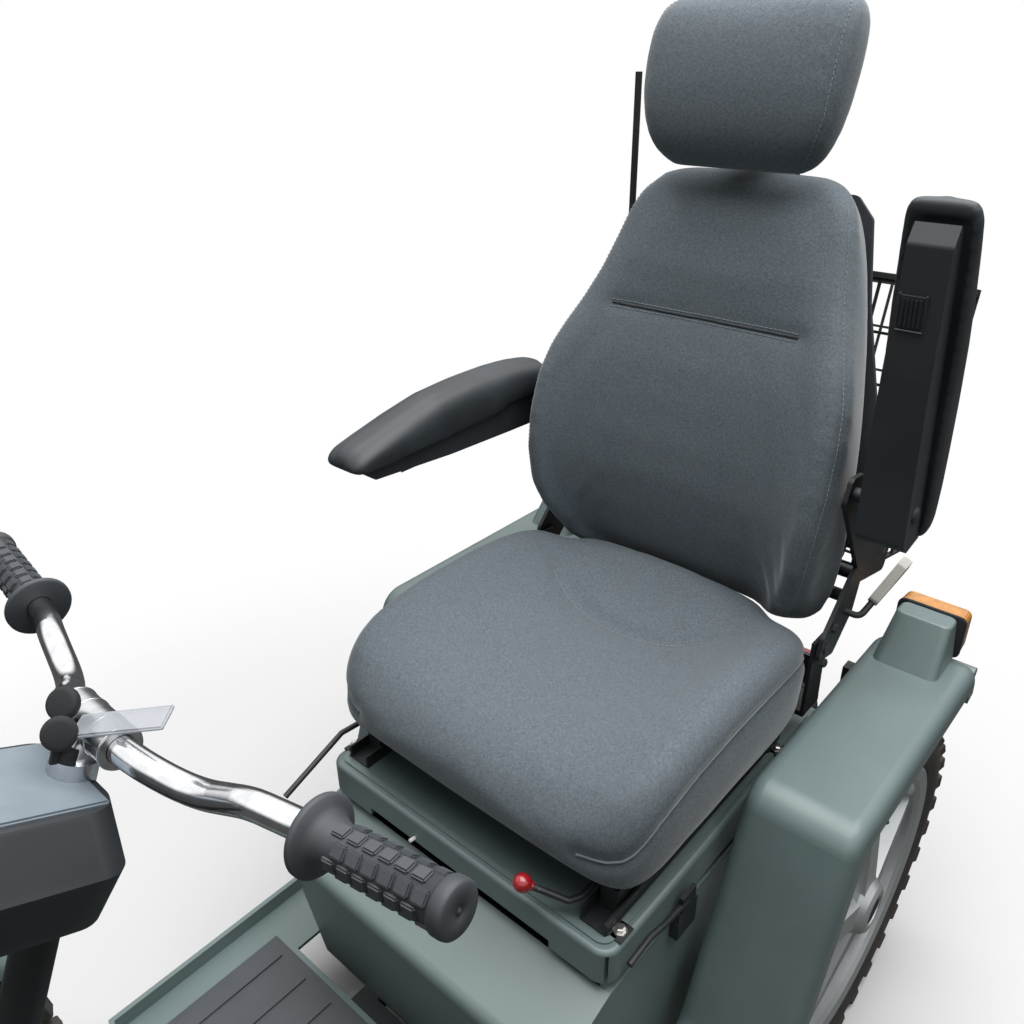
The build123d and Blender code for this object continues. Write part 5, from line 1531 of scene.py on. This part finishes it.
KNOB_RADIUS = 0.0112
KNOB_COLLAR = ((0.0, -0.0128), (0.0052, -0.0128), (0.0056, -0.0118), (0.0056, -0.0102))
LEVER_AIM = Vector((0.006, -0.008, 0.004)).normalized()
knob_turns = [math.radians(a) for a in range(-60, 91, 15)]
knob_profile = [*KNOB_COLLAR, *((KNOB_RADIUS * math.cos(a), KNOB_RADIUS * math.sin(a)) for a in knob_turns)]
knob = moved(lathe("knob", knob_profile, 40), node_middle("slide_lever_knob"), LEVER_AIM)
fit(join("slide_knob_ball", [(knob, 0)], RED_KNOB), "seat", "red_plastic", "slide_lever_knob")

# %% [markdown]
# The photograph was cut out on white and lit by an open sky. One very large lamp above stands for the sky
# and the world gives a little fill. The world looks white to the camera, and its upper half shines in
# reflections. The floor is white to the camera, but sends back little light, as dark ground does, and it
# fades out with distance.


# %% Floor, lamps and white background
def lay_floor():
    size = 4.0
    mesh = bpy.data.meshes.new("studio_floor")
    corners = [(-size, -size, 0), (size, -size, 0), (size, size, 0), (-size, size, 0)]
    mesh.from_pydata(corners, [], [(0, 1, 2, 3)])
    floor = new_piece("studio_floor", mesh)
    f = Finish("floor_paint", (0.95, 0.95, 0.95), Roughness=0.95, Specular_IOR_Level=0.0)
    apart = f.node("ShaderNodeSeparateXYZ", {}, {0: f.place}, None)
    x, y = Value(f, apart.outputs[0]), Value(f, apart.outputs[1])
    far = x * x + y * y
    f.set(Alpha=1.0 - far.between(0.3, 2.6))
    path = f.node("ShaderNodeLightPath", {}, {}, None)
    bounced = Value(f, path.outputs["Is Diffuse Ray"]) + Value(f, path.outputs["Is Glossy Ray"])
    f.set(Base_Color=f.mix(bounced, (1.0, 1.0, 1.0), (0.16, 0.17, 0.16)))
    mesh.materials.append(f.material)


def add_lamp(name, place, target, size, power):
    data = bpy.data.lights.new(name, "AREA")
    data.size = size
    data.energy = power
    lamp = bpy.data.objects.new(name, data)
    lamp.location = place
    lamp.rotation_euler = (Vector(target) - Vector(place)).to_track_quat("-Z", "Y").to_euler()
    bpy.context.scene.collection.objects.link(lamp)


class Air(Nodes):
    """The world: white where it is seen, a bright sky in reflections, dim where it lights."""

    def __init__(self, lighting, sky):
        self.world = bpy.data.worlds.new("studio_air")
        self.world.use_nodes = True
        self.tree = self.world.node_tree
        path = self.node("ShaderNodeLightPath", {}, {}, None)
        seen = Value(self, path.outputs["Is Camera Ray"])
        seen = seen.math("MAXIMUM", seen, Value(self, path.outputs["Is Transmission Ray"]))
        mirrored = Value(self, path.outputs["Is Glossy Ray"])
        direction = self.node("ShaderNodeTexCoord", {}, {}, "Generated")
        up = self.node("ShaderNodeSeparateXYZ", {}, {0: direction}, "Z")
        glow = self.tree.nodes["Background"]
        glow.inputs["Color"].default_value = (1.0, 1.0, 1.0, 1.0)
        strength = seen * (1.0 - lighting) + mirrored * (up.between(0.1, 0.5) * sky) + lighting
        self.feed(glow.inputs["Strength"], strength)


lay_floor()
SEAT_MIDDLE = (-0.2, 0.0, 0.6)
add_lamp("sky_lamp", (-0.4, 0.25, 3.3), SEAT_MIDDLE, 3.0, 130.0)
bpy.context.scene.world = Air(0.1, 1.3).world
bpy.context.scene.view_settings.view_transform = "Standard"
print("studio ready")
